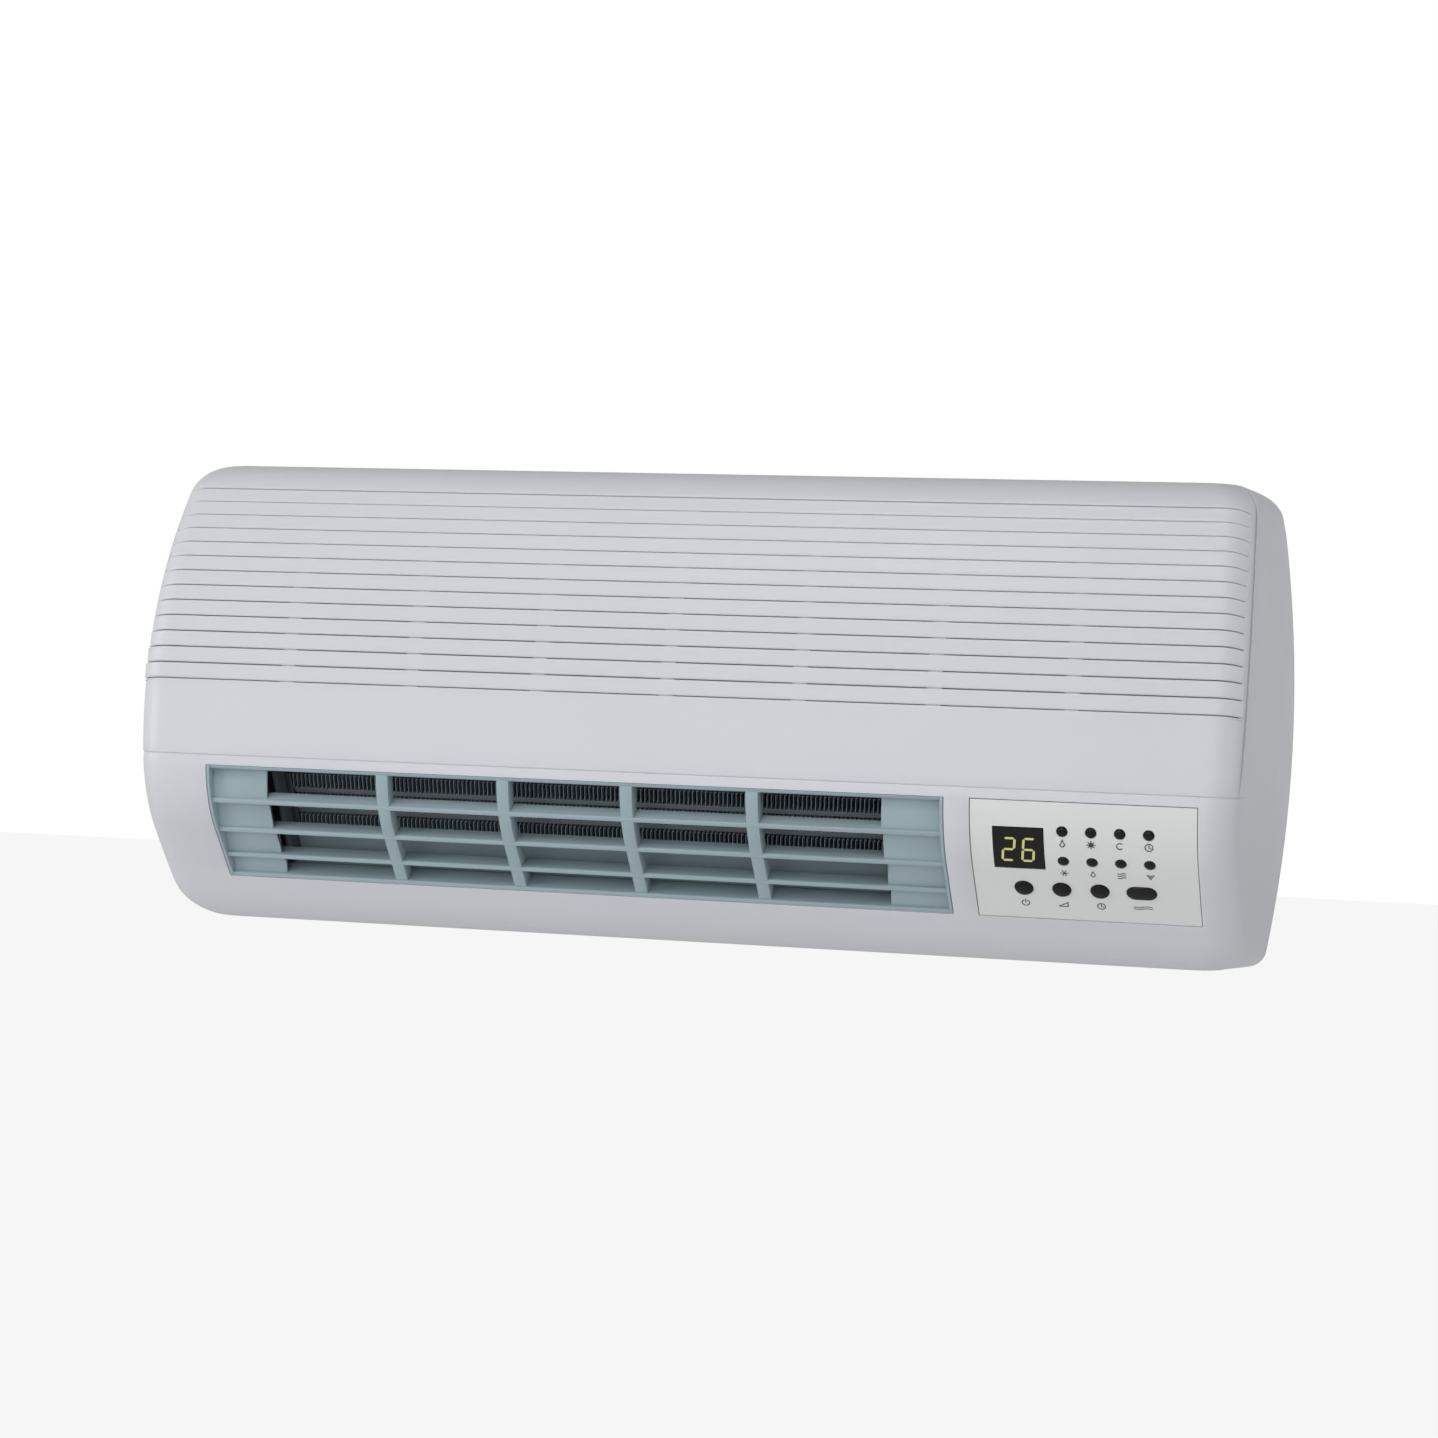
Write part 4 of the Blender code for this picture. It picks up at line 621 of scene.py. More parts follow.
def mould_slat(name, profile):
    """One slat at the nose's height, about the brow's centre line, ends rolled back."""
    middle = brow_z(SLAT_MIDDLE_ANGLE)
    half = cheek_x(face_depth(middle) - EDGE_RADIUS, middle) - EDGE_RADIUS
    stations = [(-half, angle) for angle in steps(-SLAT_END_ANGLE, 0, 8)]
    stations += [(half, angle) for angle in steps(0, SLAT_END_ANGLE, 8)]
    mesh = bmesh.new()
    recession = mesh.verts.layers.float.new("recession")
    rings = []
    for centre, angle in stations:
        ring = []
        for down, out in profile:
            reach = EDGE_RADIUS + out
            around = math.degrees(down / BROW_RADIUS)
            radial = BROW_RADIUS - EDGE_RADIUS + reach * cos(angle)
            place = (centre + reach * sin(angle), -radial * cos(around), -radial * sin(around))
            vert = mesh.verts.new(place)
            vert[recession] = EDGE_RADIUS * (1 - cos(angle))
            ring.append(vert)
        rings.append(ring)
    count = len(rings[0])
    for near, far in zip(rings, rings[1:]):
        for i in range(count):
            j = (i + 1) % count
            mesh.faces.new((near[i], near[j], far[j], far[i]))
    mesh.faces.new(rings[0])
    mesh.faces.new(list(reversed(rings[-1])))
    bmesh.ops.recalc_face_normals(mesh, faces=mesh.faces)
    return piece(name, mesh, white_abs)


def new_tree(name, inputs):
    """An empty geometry tree with a mesh going in and out, and named number inputs."""
    tree = bpy.data.node_groups.new(name, "GeometryNodeTree")
    face = tree.interface
    face.new_socket("Mesh", in_out="INPUT", socket_type="NodeSocketGeometry")
    for label, (kind, value) in inputs.items():
        socket = face.new_socket(label, in_out="INPUT", socket_type="NodeSocket" + kind)
        socket.default_value = value
    face.new_socket("Mesh", in_out="OUTPUT", socket_type="NodeSocketGeometry")
    return tree, tree.nodes.new("NodeGroupInput"), tree.nodes.new("NodeGroupOutput")


def math_node(tree, operation, first, second):
    node = tree.nodes.new("ShaderNodeMath")
    node.operation = operation
    for socket, value in zip(node.inputs, (first, second)):
        if isinstance(value, (int, float)):
            socket.default_value = value
        elif value is not None:
            tree.links.new(value, socket)
    return node.outputs["Value"]


def close_tree(tree, geometry, output, material):
    """Every tree ends in Realize Instances and Set Material."""
    real = tree.nodes.new("GeometryNodeRealizeInstances")
    coat = tree.nodes.new("GeometryNodeSetMaterial")
    coat.inputs["Material"].default_value = material
    tree.links.new(geometry, real.inputs["Geometry"])
    tree.links.new(real.outputs["Geometry"], coat.inputs["Geometry"])
    tree.links.new(coat.outputs["Geometry"], output.inputs["Mesh"])


def grow(obj, tree, values):
    """Runs a tree on an object and keeps the result as its plain mesh."""
    modifier = obj.modifiers.new(tree.name, "NODES")
    modifier.node_group = tree
    for item in tree.interface.items_tree:
        if item.in_out == "INPUT" and item.name in values:
            modifier[item.identifier] = values[item.name]
    return settle(obj)


def louvre_tree():
    """Copies of a slat, turned about the brow's centre line, with ends kept on the shell."""
    inputs = {
        "Count": ("Int", 13),
        "First angle": ("Float", 0.6),
        "Angle step": ("Float", 0.03),
        "Bow": ("Float", 0.02),
        "Centre angle": ("Float", 0.38),
    }
    tree, given, output = new_tree("louvre", inputs)
    nodes, links = tree.nodes, tree.links
    points = nodes.new("GeometryNodePoints")
    links.new(given.outputs["Count"], points.inputs["Count"])
    index = nodes.new("GeometryNodeInputIndex").outputs["Index"]
    drop = math_node(tree, "MULTIPLY", index, given.outputs["Angle step"])
    tilt = math_node(tree, "SUBTRACT", given.outputs["First angle"], drop)
    turned = nodes.new("ShaderNodeCombineXYZ")
    links.new(math_node(tree, "MULTIPLY", tilt, -1.0), turned.inputs["X"])
    from_centre = math_node(tree, "SUBTRACT", tilt, given.outputs["Centre angle"])
    narrowing = math_node(tree, "MULTIPLY", from_centre, given.outputs["Bow"])
    length = nodes.new("ShaderNodeCombineXYZ")
    length.inputs["Y"].default_value = 1
    length.inputs["Z"].default_value = 1
    links.new(math_node(tree, "SUBTRACT", 1.0, narrowing), length.inputs["X"])
    copies = nodes.new("GeometryNodeInstanceOnPoints")
    links.new(points.outputs[0], copies.inputs["Points"])
    links.new(given.outputs["Mesh"], copies.inputs["Instance"])
    links.new(turned.outputs["Vector"], copies.inputs["Rotation"])
    links.new(length.outputs["Vector"], copies.inputs["Scale"])
    close_tree(tree, copies.outputs["Instances"], output, white_abs)
    return tree


def put(obj, matrix):
    """Moves the object's mesh, so that the object itself stays at the origin."""
    obj.data.transform(matrix)
    obj.data.update()
    return obj


BROW_CENTRE = Matrix.Translation((0, BROW_RADIUS - FRONT, NOSE_Z))


def fit_slat_ends(obj):
    """Brings the rolled-back ends of the upper slats out onto the shell's surface."""
    mesh = obj.data
    layer = mesh.attributes["recession"].data
    for vert, back in zip(mesh.vertices, layer):
        tilt = math.atan2(vert.co.z, -vert.co.y)
        lift = back.value * (1 - math.cos(tilt))
        vert.co.y -= lift * math.cos(tilt)
        vert.co.z += lift * math.sin(tilt)
    mesh.attributes.remove(mesh.attributes["recession"])


LOUVRE = louvre_tree()


def set_slats(name, profile, count, first_angle):
    values = {
        "Count": count,
        "First angle": math.radians(first_angle),
        "Angle step": math.radians(SLOT_PITCH),
        "Bow": SLAT_BOW,
        "Centre angle": math.radians(SLAT_MIDDLE_ANGLE),
    }
    slats = grow(mould_slat(name, profile), LOUVRE, values)
    fit_slat_ends(slats)
    put(slats, BROW_CENTRE)
    shade(slats.data, 38)
    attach(slats, "housing")


set_slats("intake_slats", slat_profile(), SLOTS - 1, SLOT_ANGLES[0])
set_slats("intake_sill", sill_profile(), 1, SLOT_ANGLES[1])


def mould_tie():
    """One upright tie that follows the brow behind the slats."""
    mesh = bmesh.new()
    half = 3.6 * MM
    rings = []
    for angle in steps(SLOT_ANGLES[0] + 0.8, SLOT_ANGLES[1] - 0.8, 26):
        ring = []
        for x, out in ((-half, -1.1), (half, -1.1), (half * 0.6, -7), (-half * 0.6, -7)):
            radius = BROW_RADIUS + out * MM
            ring.append(mesh.verts.new((x, -radius * cos(angle), radius * sin(angle))))
        rings.append(ring)
    for near, far in zip(rings, rings[1:]):
        for i in range(4):
            j = (i + 1) % 4
            mesh.faces.new((near[i], near[j], far[j], far[i]))
    mesh.faces.new(rings[0])
    mesh.faces.new(list(reversed(rings[-1])))
    bmesh.ops.recalc_face_normals(mesh, faces=mesh.faces)
    return piece("intake_ties", mesh, white_abs)


def row_tree(name, material):
    """Copies of a piece at equal steps along one direction."""
    inputs = {
        "Count": ("Int", 2),
        "Start": ("Vector", (0, 0, 0)),
        "Step": ("Vector", (0.01, 0, 0)),
    }
    tree, given, output = new_tree(name, inputs)
    line = tree.nodes.new("GeometryNodeMeshLine")
    tree.links.new(given.outputs["Count"], line.inputs["Count"])
    tree.links.new(given.outputs["Start"], line.inputs["Start Location"])
    tree.links.new(given.outputs["Step"], line.inputs["Offset"])
    copies = tree.nodes.new("GeometryNodeInstanceOnPoints")
    tree.links.new(line.outputs["Mesh"], copies.inputs["Points"])
    tree.links.new(given.outputs["Mesh"], copies.inputs["Instance"])
    close_tree(tree, copies.outputs["Instances"], output, material)
    return tree


TIES = 7
TIE_PITCH = 68.3 * MM
ties = grow(
    mould_tie(),
    row_tree("ties", white_abs),
    {"Count": TIES, "Start": (-3 * TIE_PITCH, 0, 0), "Step": (TIE_PITCH, 0, 0)},
)
put(ties, BROW_CENTRE)
shade(ties.data, 38)
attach(ties, "housing")

# ---------------------------------------------------------------------------
# Outlet grille
# A blue-grey moulding that snaps into the chin. Its blades slope down towards
# the room, upright bars join them, and both ends are closed by stepped facets
# that carry on the line of the blades.

FIELD_HIGH = Vector((face_depth(FIELD_TOP), FIELD_TOP))
FIELD_LOW = Vector((face_depth(FIELD_BOTTOM), FIELD_BOTTOM))
DUCT_MIDDLE = (FIELD_HIGH + FIELD_LOW) / 2
DUCT_UP = (FIELD_HIGH - FIELD_LOW).normalized()
DUCT_IN = Vector((-DUCT_UP.y, DUCT_UP.x))
OPENING_LEFT, OPENING_RIGHT = -214.5 * MM, 112.2 * MM
BLADE_SHARES = (0.335, 0.594, 0.824)
GRILLE_DEEP = 12 * MM
GRILLE_WALL = 1.6 * MM
END_COLUMN = 61.9 * MM
BAR_WIDE = 6.5 * MM

blue_grey_abs = finish_material(
    "blue_grey_abs",
    (0.30, 0.385, 0.42),
    0.02,
    0.42,
    grain=1300,
    depth=0.025,
    Specular_IOR_Level=0.4,
)


def on_field(share, recess):
    """(depth, z) at a share of the way down the field, set in from the surface."""
    z = FIELD_TOP + (FIELD_BOTTOM - FIELD_TOP) * share
    return Vector((face_depth(z), z)) + DUCT_IN * recess


def prism(mesh, section, left, right):
    """A closed section of (depth, z) points, drawn out across the body."""
    near = [mesh.verts.new((left, -depth, z)) for depth, z in section]
    far = [mesh.verts.new((right, -depth, z)) for depth, z in section]
    count = len(section)
    mesh.faces.new(near)
    mesh.faces.new(list(reversed(far)))
    for i in range(count):
        j = (i + 1) % count
        mesh.faces.new((near[i], far[i], far[j], near[j]))


def blade_section(share):
    """A thin blade: rounded nose, top face sloping up and in, thinner at the root."""
    nose = on_field(share, 1.0 * MM) + DUCT_UP * 1.9 * MM
    tail = nose + DUCT_IN * 8.5 * MM
    below = DUCT_UP * -1
    return [
        nose + DUCT_IN * 0.5 * MM,
        tail,
        tail + below * 1.0 * MM,
        nose + DUCT_IN * 3.2 * MM + below * 3.0 * MM,
        nose + DUCT_IN * 0.8 * MM + below * 3.0 * MM,
        nose + below * 2.4 * MM,
        nose + below * 0.6 * MM,
    ]


def mould_grille():
    """The frame: two end walls, a rail at the top and at the foot, and the blades."""
    mesh = bmesh.new()
    depth = DUCT_IN * GRILLE_DEEP
    face = [on_field(share, 0) for share in steps(0, 1, 24)]
    behind = [point + depth for point in reversed(face)]
    prism(mesh, face + behind, GRILLE_LEFT, GRILLE_LEFT + GRILLE_WALL)
    prism(mesh, face + behind, GRILLE_RIGHT - GRILLE_WALL, GRILLE_RIGHT)
    inner = (GRILLE_LEFT + GRILLE_WALL * 0.9, GRILLE_RIGHT - GRILLE_WALL * 0.9)
    top, foot = face[0], face[-1]
    lip = DUCT_UP * 2.1 * MM
    prism(mesh, [top, top + depth, top + depth - lip, top - lip + DUCT_IN * 0.3 * MM], *inner)
    prism(mesh, [foot, foot + lip + DUCT_IN * 0.3 * MM, foot + depth + lip, foot + depth], *inner)
    for share in BLADE_SHARES:
        prism(mesh, blade_section(share), *inner)
    return mesh


def add_facets(mesh):
    """Closed ends: each facet starts deep and leans out to the next blade's line."""
    section = []
    start = 0.02
    for share in (*BLADE_SHARES, 0.985):
        section.append(on_field(start, 6.2 * MM))
        section.append(on_field((start + share) / 2, 4.6 * MM))
        section.append(on_field(share - 0.012, 2.5 * MM))
        section.append(on_field(share, 3.0 * MM))
        start = share + 0.004
    section += [point + DUCT_IN * 1.8 * MM for point in reversed(section)]
    prism(mesh, section, GRILLE_LEFT + 1.4 * MM, OPENING_LEFT)
    prism(mesh, section, OPENING_RIGHT, GRILLE_RIGHT - 1.4 * MM)


def add_bars(mesh):
    """Four upright bars, level with the blades' noses, between five columns."""
    face = [on_field(share, 1.1 * MM) for share in steps(0.01, 0.99, 20)]
    behind = [point + DUCT_IN * 8 * MM for point in reversed(face)]
    inner = (OPENING_RIGHT - OPENING_LEFT - 2 * END_COLUMN - 4 * BAR_WIDE) / 3
    for index in range(4):
        left = OPENING_LEFT + END_COLUMN + index * (inner + BAR_WIDE)
        prism(mesh, face + behind, left, left + BAR_WIDE)


grille_mesh = mould_grille()
add_facets(grille_mesh)
add_bars(grille_mesh)
bmesh.ops.recalc_face_normals(grille_mesh, faces=grille_mesh.faces)
grille = piece("outlet_grille_blades", grille_mesh, blue_grey_abs)
soft_edges(grille, 0.3 * MM)
settle(grille)
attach(grille, "housing")
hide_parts("outlet_grille")

# ---------------------------------------------------------------------------
# Ceramic heater
# Three rows of thin corrugated aluminium fins pressed between flat tubes that
# hold the ceramic stones, framed by moulded rails and end blocks.

# The fins' aluminium is coloured a dark blue-grey, far darker than bare metal: painted shade from
# the duct around them.
aluminium_fins_painted_shade = finish_material(
    "aluminium_fins_painted_shade", (0.24, 0.29, 0.33), 0.05, 0.5, metallic=0.35, grain=2200, depth=0.05
)


def refine(node, material, body, width=0.0, sharp=38):
    """A welded, smoothly shaded copy of a CAD piece, with its sharp corners broken."""
    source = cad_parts[node]
    mesh = bmesh.new()
    mesh.from_mesh(source.data)
    bmesh.ops.remove_doubles(mesh, verts=mesh.verts, dist=0.002 * MM)
    bmesh.ops.dissolve_limit(
        mesh,
        angle_limit=math.radians(0.5),
        verts=mesh.verts,
        edges=mesh.edges,
        use_dissolve_boundaries=False,
    )
    copy = piece(node + "_finished", mesh, material, sharp)
    if width:
        soft_edges(copy, width)
        settle(copy, sharp)
    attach(copy, body)
    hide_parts(node)
    return copy


FIN_OVERRUN = 9 * MM
FIN_PITCH = 2.3 * MM
FIN_SHEET = 0.28 * MM
FIN_TALL = 9 * MM
TUBE_TALL = 3 * MM
HEATER_GAP = 0.3 * MM
HEATER_THICK = 14 * MM
HEATER_SETBACK = 22 * MM


BOX_FACES = (
    (0, 1, 3, 2),
    (4, 6, 7, 5),
    (0, 4, 5, 1),
    (2, 3, 7, 6),
    (0, 2, 6, 4),
    (1, 5, 7, 3),
)


def corrugate(row):
    """Fine upright fins across the whole row, made from one folded pair."""
    corner, far_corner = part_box(f"fin_row_{row}")
    rise = DUCT_UP * FIN_TALL
    inward = DUCT_IN * HEATER_THICK
    mesh = bmesh.new()
    count = int((far_corner.x - corner.x + 2 * FIN_OVERRUN) / FIN_PITCH)
    foot = FIN_FEET[row - 1]
    sheet = FIN_SHEET
    lean = FIN_PITCH / 2 - sheet
    corners = []
    for along, up in ((0, 0), (sheet, 0), (lean + sheet, 1), (lean, 1)):
        for deep in (0, 1):
            point = foot + rise * up + inward * deep
            corners.append(mesh.verts.new((along, -point.x, point.y)))
    loop = [corners[0], corners[2], corners[4], corners[6]]
    back = [corners[1], corners[3], corners[5], corners[7]]
    mesh.faces.new(loop)
    mesh.faces.new(list(reversed(back)))
    for i in range(4):
        j = (i + 1) % 4
        mesh.faces.new((loop[i], back[i], back[j], loop[j]))
    for along, up in ((0, 1), (FIN_PITCH / 2, 0)):
        offset = rise * up + DUCT_UP * (-sheet if up else 0)
        base = foot + offset
        low_left = along + (lean if up else 0) - (0 if up else sheet)
        verts = []
        for x in (low_left, low_left + FIN_PITCH / 2):
            for lift in (0, sheet):
                for deep in (0, 1):
                    point = base + DUCT_UP * lift + inward * deep
                    verts.append(mesh.verts.new((x, -point.x, point.y)))
        for ids in BOX_FACES:
            mesh.faces.new([verts[i] for i in ids])
    bmesh.ops.recalc_face_normals(mesh, faces=mesh.faces)
    fins = piece(f"corrugated_fins_{row}", mesh, aluminium_fins_painted_shade)
    grow(
        fins,
        row_tree("fins", aluminium_fins_painted_shade),
        {"Count": count, "Start": (corner.x - FIN_OVERRUN, 0, 0), "Step": (FIN_PITCH, 0, 0)},
    )
    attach(fins, "housing")
    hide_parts(f"fin_row_{row}")


STACK = 3 * FIN_TALL + 2 * TUBE_TALL + 4 * HEATER_GAP
FIN_FEET = []
for row in range(3):
    up = -STACK / 2 + row * (FIN_TALL + TUBE_TALL + 2 * HEATER_GAP)
    FIN_FEET.append(DUCT_MIDDLE + DUCT_IN * HEATER_SETBACK + DUCT_UP * up)
for row in (1, 2, 3):
    corrugate(row)

heat_proof_black = finish_material("heat_proof_black", (0.035, 0.036, 0.04), 0.06, 0.5, grain=800)
duct_plastic = finish_material("duct_plastic", (0.22, 0.28, 0.315), 0.03, 0.5, grain=900)
# The tubes are coloured the dark grey of the shade inside the outlet, so that they sink into it:
# painted shade.
heater_tube_painted_shade = finish_material("heater_tube_painted_shade", (0.10, 0.12, 0.13), 0.06, 0.5, grain=900)
for node in ("heating_tube_1", "heating_tube_2"):
    refine(node, heater_tube_painted_shade, "housing", 0.4 * MM)
for node in ("heater_rail_upper", "thermal_cutout"):
    refine(node, heat_proof_black, "housing", 0.4 * MM)
for node, outward in (("heater_end_left", -1), ("heater_end_right", 1)):
    block = refine(node, heat_proof_black, "housing", 0.4 * MM)
    middle = sum(corner.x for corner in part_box(node)) / 2
    for vert in block.data.vertices:
        if (vert.co.x - middle) * outward < 0:
            vert.co.x += outward * FIN_OVERRUN
refine("heater_rail_lower", duct_plastic, "housing", 0.5 * MM)

# ---------------------------------------------------------------------------
# Air duct, fan and motor
# A moulded scroll and tongue close round a cross-flow fan of leaning blades.
# A small shaded-pole motor in a folded steel cradle drives its left end, and
# a sintered sleeve in a rubber bush carries the right end.

fan_plastic = finish_material("fan_plastic", (0.10, 0.10, 0.108), 0.05, 0.45, grain=700)
zinc_plate = finish_material(
    "zinc_plate", (0.55, 0.56, 0.57), 0.06, 0.34, metallic=1.0, grain=1600, depth=0.06
)
soft_rubber = finish_material(
    "soft_rubber", (0.018, 0.018, 0.019), 0.08, 0.78, grain=500, depth=0.08
)
pale_nylon = finish_material("pale_nylon", (0.60, 0.58, 0.52), 0.03, 0.45)
sintered_bronze = finish_material(
    "sintered_bronze", (0.50, 0.30, 0.14), 0.1, 0.4, metallic=1.0, grain=2500
)
# The duct's end walls take a darker copy of the duct plastic: painted shade.
duct_plastic_painted_shade = finish_material("duct_plastic_painted_shade", (0.085, 0.11, 0.125), 0.03, 0.55, grain=900)
for node in ("scroll_casing", "duct_tongue"):
    refine(node, duct_plastic, "housing")
for node in ("duct_end_left", "duct_end_right"):
    refine(node, duct_plastic_painted_shade, "housing")
refine("fan_impeller", fan_plastic, "fan")
for node in ("motor_rotor", "motor_shaft", "bearing_pin"):
    refine(node, zinc_plate, "fan")
for node in ("motor_stator", "motor_cap_left", "motor_cap_right", "motor_bracket", "thermal_fuse"):
    refine(node, zinc_plate, "housing", 0.3 * MM)
refine("rubber_bush", soft_rubber, "housing")
refine("sleeve_bearing", sintered_bronze, "housing")
refine("bearing_cover", pale_nylon, "housing", 0.3 * MM)

# ---------------------------------------------------------------------------
# Control fascia, lens and receiver window
# A warm grey moulded plate, curved with the chin and pierced for everything
# on it, with a smoked acrylic lens over the display and the remote's receiver.

warm_grey_abs = finish_material(
    "warm_grey_abs", (0.67, 0.676, 0.67), 0.01, 0.46, grain=1500, depth=0.02
)
smoked_acrylic = finish_material(
    "smoked_acrylic",
    (0.006, 0.006, 0.005),
    0.2,
    0.14,
    grain=60,
    depth=0.006,
    Specular_IOR_Level=0.22,
)
key_black = finish_material(
    "key_black", (0.005, 0.005, 0.005), 0.1, 0.34, grain=1200, depth=0.03, Specular_IOR_Level=0.2
)


def curve_shading(obj):
    """Normals of the true curve, on the faces that lie in the front's surface."""
    mesh = obj.data
    normals = []
    for face in mesh.polygons:
        for loop in face.loop_indices:
            vert = mesh.vertices[mesh.loops[loop].vertex_index]
            angle = face_angle(vert.co.z)
            outward = Vector((0, -cos(angle), sin(angle)))
            facing = face.normal.dot(outward)
            if abs(facing) > 0.9:
                normals.append(outward if facing > 0 else -outward)
            else:
                normals.append(face.normal.copy())
    mesh.normals_split_custom_set(normals)


fascia = refine("control_fascia", warm_grey_abs, "housing")
curve_shading(fascia)
lens = refine("display_lens", smoked_acrylic, "housing")
curve_shading(lens)
refine("receiver_window", smoked_acrylic, "housing", 0.5 * MM)
for index in range(1, 9):
    refine(f"indicator_light_{index}", smoked_acrylic, "housing")
for name in ("power", "heat", "timer"):
    refine(name + "_button", key_black, name + "_key", 0.25 * MM)

# ---------------------------------------------------------------------------
# Display digits
# Two seven-segment digits that shine yellow-green through the lens. The unlit
# segments stay invisible, as they do behind smoked acrylic.

LENS_X = 181 * MM
LENS_Z = -63.2 * MM
DIGIT_TALL = 13.8 * MM
DIGIT_WIDE = 6.6 * MM
DIGIT_PITCH = 9.8 * MM
SEGMENT = 1.2 * MM
SEGMENT_GAP = 0.25 * MM
DIGIT_LEAN = 0.10
LIT = {"2": "abged", "6": "acdefg"}


def on_front(x, z, up, out):
    """A point that far up the surface from (x, z), and that far out of it."""
    angle = face_angle(z)
    height = z + up * cos(angle)
    tilt = face_angle(height)
    depth = face_depth(height)
    return Vector((x, -depth - out * cos(tilt), height + out * sin(tilt)))


def glowing(name, colour, strength):
    material = finish_material(name, colour, 0.05, 0.4)
    shader = material.node_tree.nodes["Principled BSDF"]
    shader.inputs["Emission Color"].default_value = (*colour, 1)
    shader.inputs["Emission Strength"].default_value = strength
    return material


def plate_on_front(mesh, outline, x, z, low_side, high_side):
    """A thin plate with that outline of (right, up) points, laid on the surface."""
    near = [mesh.verts.new(on_front(x + u, z, v, low_side)) for u, v in outline]
    far = [mesh.verts.new(on_front(x + u, z, v, high_side)) for u, v in outline]
    mesh.faces.new(list(reversed(near)))
    mesh.faces.new(far)
    for i in range(len(outline)):
        j = (i + 1) % len(outline)
        mesh.faces.new((near[i], near[j], far[j], far[i]))


def segment_outline(letter):
    """One segment: a bar with pointed ends, upright or level, in the digit's frame."""
    w, h, s = DIGIT_WIDE / 2, DIGIT_TALL / 2, SEGMENT / 2
    level = {"a": h - s, "g": 0, "d": -h + s}
    if letter in level:
        y, reach = level[letter], w - s - SEGMENT_GAP
        flat = [(-reach, y), (-reach + s, y + s), (reach - s, y + s)]
        return flat + [(reach, y), (reach - s, y - s), (-reach + s, y - s)]
    x = w - s if letter in "bc" else -w + s
    foot, head = SEGMENT_GAP, h - s - SEGMENT_GAP
    if letter not in "bf":
        foot, head = -head, -foot
    tall = [(x, foot), (x - s, foot + s), (x - s, head - s)]
    return tall + [(x, head), (x + s, head - s), (x + s, foot + s)]


def light_digits():
    mesh = bmesh.new()
    for index, digit in enumerate("26"):
        middle = LENS_X + (index - 0.5) * DIGIT_PITCH
        for letter in LIT[digit]:
            outline = [(u + v * DIGIT_LEAN, v) for u, v in segment_outline(letter)]
            plate_on_front(mesh, outline, middle, LENS_Z, -0.2 * MM, -0.12 * MM)
    bmesh.ops.recalc_face_normals(mesh, faces=mesh.faces)
    digits = piece("display_digits", mesh, glowing("led_yellow_green", (0.42, 0.43, 0.15), 0.38))
    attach(digits, "housing")


light_digits()

# ---------------------------------------------------------------------------
# Printed symbols
# Small grey-black symbols are pad-printed under every light, key and window:
# rings, stars, waves and strokes of the plain international kind.

ink = finish_material("print_ink", (0.05, 0.05, 0.055), 0.1, 0.5)
LIGHT_XS = [202.7 * MM + index * 14.07 * MM for index in range(4)]
LIGHT_ZS = (-53.5 * MM, -68.2 * MM)
KEY_XS = [181.7 * MM + index * 18.8 * MM for index in range(3)]
KEY_Z = -82.5 * MM
WINDOW_X = 239.8 * MM
LINE = 0.48 * MM
SYMBOL_SIZE = 1.6 * MM
BELOW_LIGHT = 5.9 * MM
BELOW_KEY = 7.6 * MM
BELOW_WINDOW = 7.4 * MM


def ring_strokes(radius, start=0, end=360, count=18):
    angles = steps(start, end, count)
    return [[(radius * cos(a), radius * sin(a)) for a in angles]]


def star_strokes(radius, arms):
    strokes = []
    for index in range(arms):
        angle = 180 / arms * index
        x, y = radius * cos(angle), radius * sin(angle)
        strokes.append([(-x, -y), (x, y)])
    return strokes


def wave_strokes(width, tall, rows):
    strokes = []
    for row in range(rows):
        middle = (row - (rows - 1) / 2) * tall
        wave = []
        for u in steps(-0.5, 0.5, 10):
            wave.append((u * width, middle + 0.25 * tall * math.sin(u * math.tau)))
        strokes.append(wave)
    return strokes


SYMBOLS = {
    "power": ring_strokes(1.15, 120, 420) + [[(0, 0.1), (0, 1.5)]],
    "heat": [[(-1.4, -0.8), (1.4, -0.8), (1.4, 0.9), (-1.4, -0.8)]],
    "clock": ring_strokes(1.2) + [[(0, 0.8), (0, 0), (0.6, -0.3)]],
    "flame": [[(0, -1.2), (-0.8, -0.5), (-0.3, 0.4), (0, 1.3), (0.4, 0.3), (0.8, -0.4), (0, -1.2)]],
    "frost": star_strokes(1.2, 3),
    "fan": star_strokes(1.1, 2) + ring_strokes(0.45, count=10),
    "sun": ring_strokes(0.6, count=10) + star_strokes(1.3, 4),
    "moon": ring_strokes(1.0, 50, 310, 12),
    "air": wave_strokes(2.4, 0.9, 3),
    "swing": [[(-1.1, 0.9), (0, -0.9), (1.1, 0.9)], [(-0.5, 0.9), (0, 0), (0.5, 0.9)]],
    "drop": [[(0, 1.3), (-0.7, -0.3), (0, -1.1), (0.7, -0.3), (0, 1.3)]],
}


def stroke_plate(mesh, stroke, x, z, width):
    """A line of printed ink through the points, with square ends."""
    for (u0, v0), (u1, v1) in zip(stroke, stroke[1:]):
        along = Vector((u1 - u0, v1 - v0))
        if along.length < 1e-9:
            continue
        along.normalize()
        side = Vector((-along.y, along.x)) * width / 2
        reach = along * width * 0.35
        a, b = Vector((u0, v0)) - reach, Vector((u1, v1)) + reach
        outline = [a - side, b - side, b + side, a + side]
        plate_on_front(mesh, [tuple(p) for p in outline], x, z, -0.34 * MM, -0.24 * MM)


def print_strokes(mesh, strokes, size, x, z, width):
    for stroke in strokes:
        stroke_plate(mesh, [(u * size, v * size) for u, v in stroke], x, z, width)


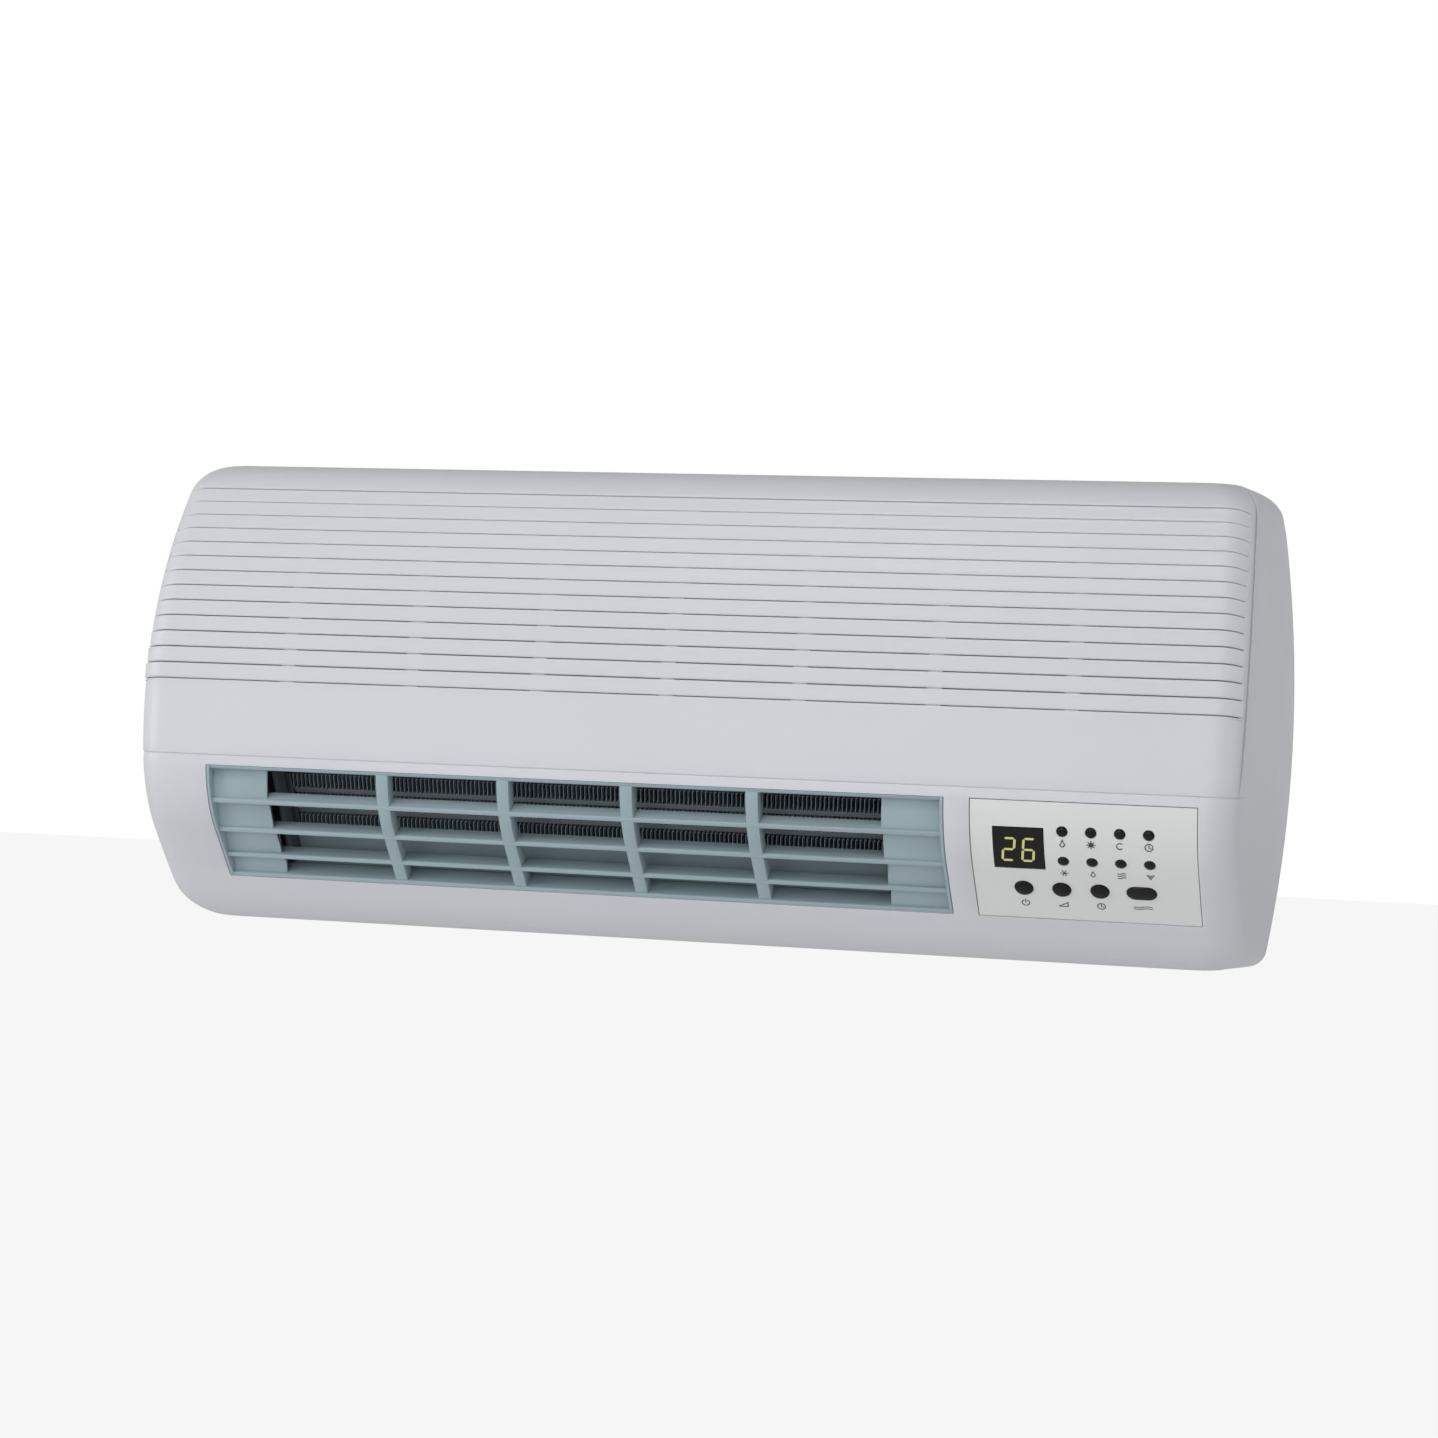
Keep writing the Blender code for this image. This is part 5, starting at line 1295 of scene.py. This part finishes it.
def print_symbols():
    """One symbol under each light and key, and a wave mark under the window."""
    mesh = bmesh.new()
    rows = (("flame", "sun", "moon", "clock"), ("frost", "drop", "air", "swing"))
    for names, z in zip(rows, LIGHT_ZS):
        for name, x in zip(names, LIGHT_XS):
            print_strokes(mesh, SYMBOLS[name], SYMBOL_SIZE, x, z - BELOW_LIGHT, LINE)
    for name, x in zip(("power", "heat", "clock"), KEY_XS):
        print_strokes(mesh, SYMBOLS[name], SYMBOL_SIZE, x, KEY_Z - BELOW_KEY, LINE * 1.1)
    print_strokes(mesh, wave_strokes(9, 1.3, 2), MM, WINDOW_X, KEY_Z - BELOW_WINDOW, LINE)
    bmesh.ops.recalc_face_normals(mesh, faces=mesh.faces)
    symbols = piece("printed_symbols", mesh, ink)
    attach(symbols, "housing")


print_symbols()

# ---------------------------------------------------------------------------
# Control board
# A green circuit board behind the fascia carries the display, three snap
# switches and the infrared receiver.

solder_mask = finish_material("solder_mask", (0.02, 0.13, 0.05), 0.12, 0.35, grain=300)
moulded_black = finish_material("moulded_black", (0.02, 0.02, 0.022), 0.08, 0.4)
refine("control_board", solder_mask, "housing", 0.15 * MM)
for node in ("display_module", "power_switch", "heat_switch", "timer_switch", "infrared_receiver"):
    refine(node, moulded_black, "housing", 0.25 * MM)

# ---------------------------------------------------------------------------
# Rear tray, screws and cable entry
# A shallow white tray that hangs on two wall screws and carries the works.
# Three countersunk screws close the shell from below, and a rubber grommet
# lines the hole where the supply comes in from the wall.

refine("rear_housing", white_abs, "housing", 0.3 * MM)
refine("cable_grommet", soft_rubber, "housing", 0.3 * MM)


def turn_screw():
    """A countersunk screw with a cross recess, head down, at the origin."""
    mesh = bmesh.new()
    profile = [(0, 0), (3.0, 0), (3.4, 0.15), (3.4, 0.35), (1.7, 2.0), (1.7, 10.5), (0, 12)]
    verts = [mesh.verts.new((r * MM, 0, h * MM)) for r, h in profile]
    edges = [mesh.edges.new(pair) for pair in zip(verts, verts[1:])]
    bmesh.ops.spin(
        mesh,
        geom=verts + edges,
        cent=(0, 0, 0),
        axis=(0, 0, 1),
        angle=math.tau,
        steps=28,
        use_merge=True,
    )
    bmesh.ops.remove_doubles(mesh, verts=mesh.verts, dist=0.001 * MM)
    bmesh.ops.recalc_face_normals(mesh, faces=mesh.faces)
    screw = piece("closing_screw", mesh, zinc_plate)
    cross = bmesh.new()
    for size in ((3.6, 0.7), (0.7, 3.6)):
        place = Matrix.Diagonal((size[0] * MM, size[1] * MM, 2.4 * MM, 1))
        bmesh.ops.create_cube(cross, size=1, matrix=place)
    recess = piece("cross_recess_cutter", cross, zinc_plate)
    cut = screw.modifiers.new("cross recess", "BOOLEAN")
    cut.object = recess
    cut.operation = "DIFFERENCE"
    cut.solver = "EXACT"
    cut.use_self = True
    settle(screw)
    bpy.data.objects.remove(recess)
    return screw


screws = grow(
    turn_screw(),
    row_tree("screws", zinc_plate),
    {
        "Count": len(SCREW_XS),
        "Start": (SCREW_XS[0], -SCREW_DEPTH, BOTTOM + 0.25 * MM),
        "Step": (SCREW_PITCH, 0, 0),
    },
)
screws.name = "closing_screws"
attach(screws, "housing")
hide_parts("housing_screw_1", "housing_screw_2", "housing_screw_3")

# ---------------------------------------------------------------------------
# Power electronics
# The supply board on the tray, with its transformer, two relays, smoothing
# capacitor and a nylon terminal block for the incoming cable.

refine("power_board", solder_mask, "housing", 0.15 * MM)
for node in ("relay_1", "relay_2", "smoothing_capacitor"):
    refine(node, moulded_black, "housing", 0.4 * MM)
refine("transformer", zinc_plate, "housing", 0.5 * MM)
refine("terminal_block", pale_nylon, "housing", 0.4 * MM)
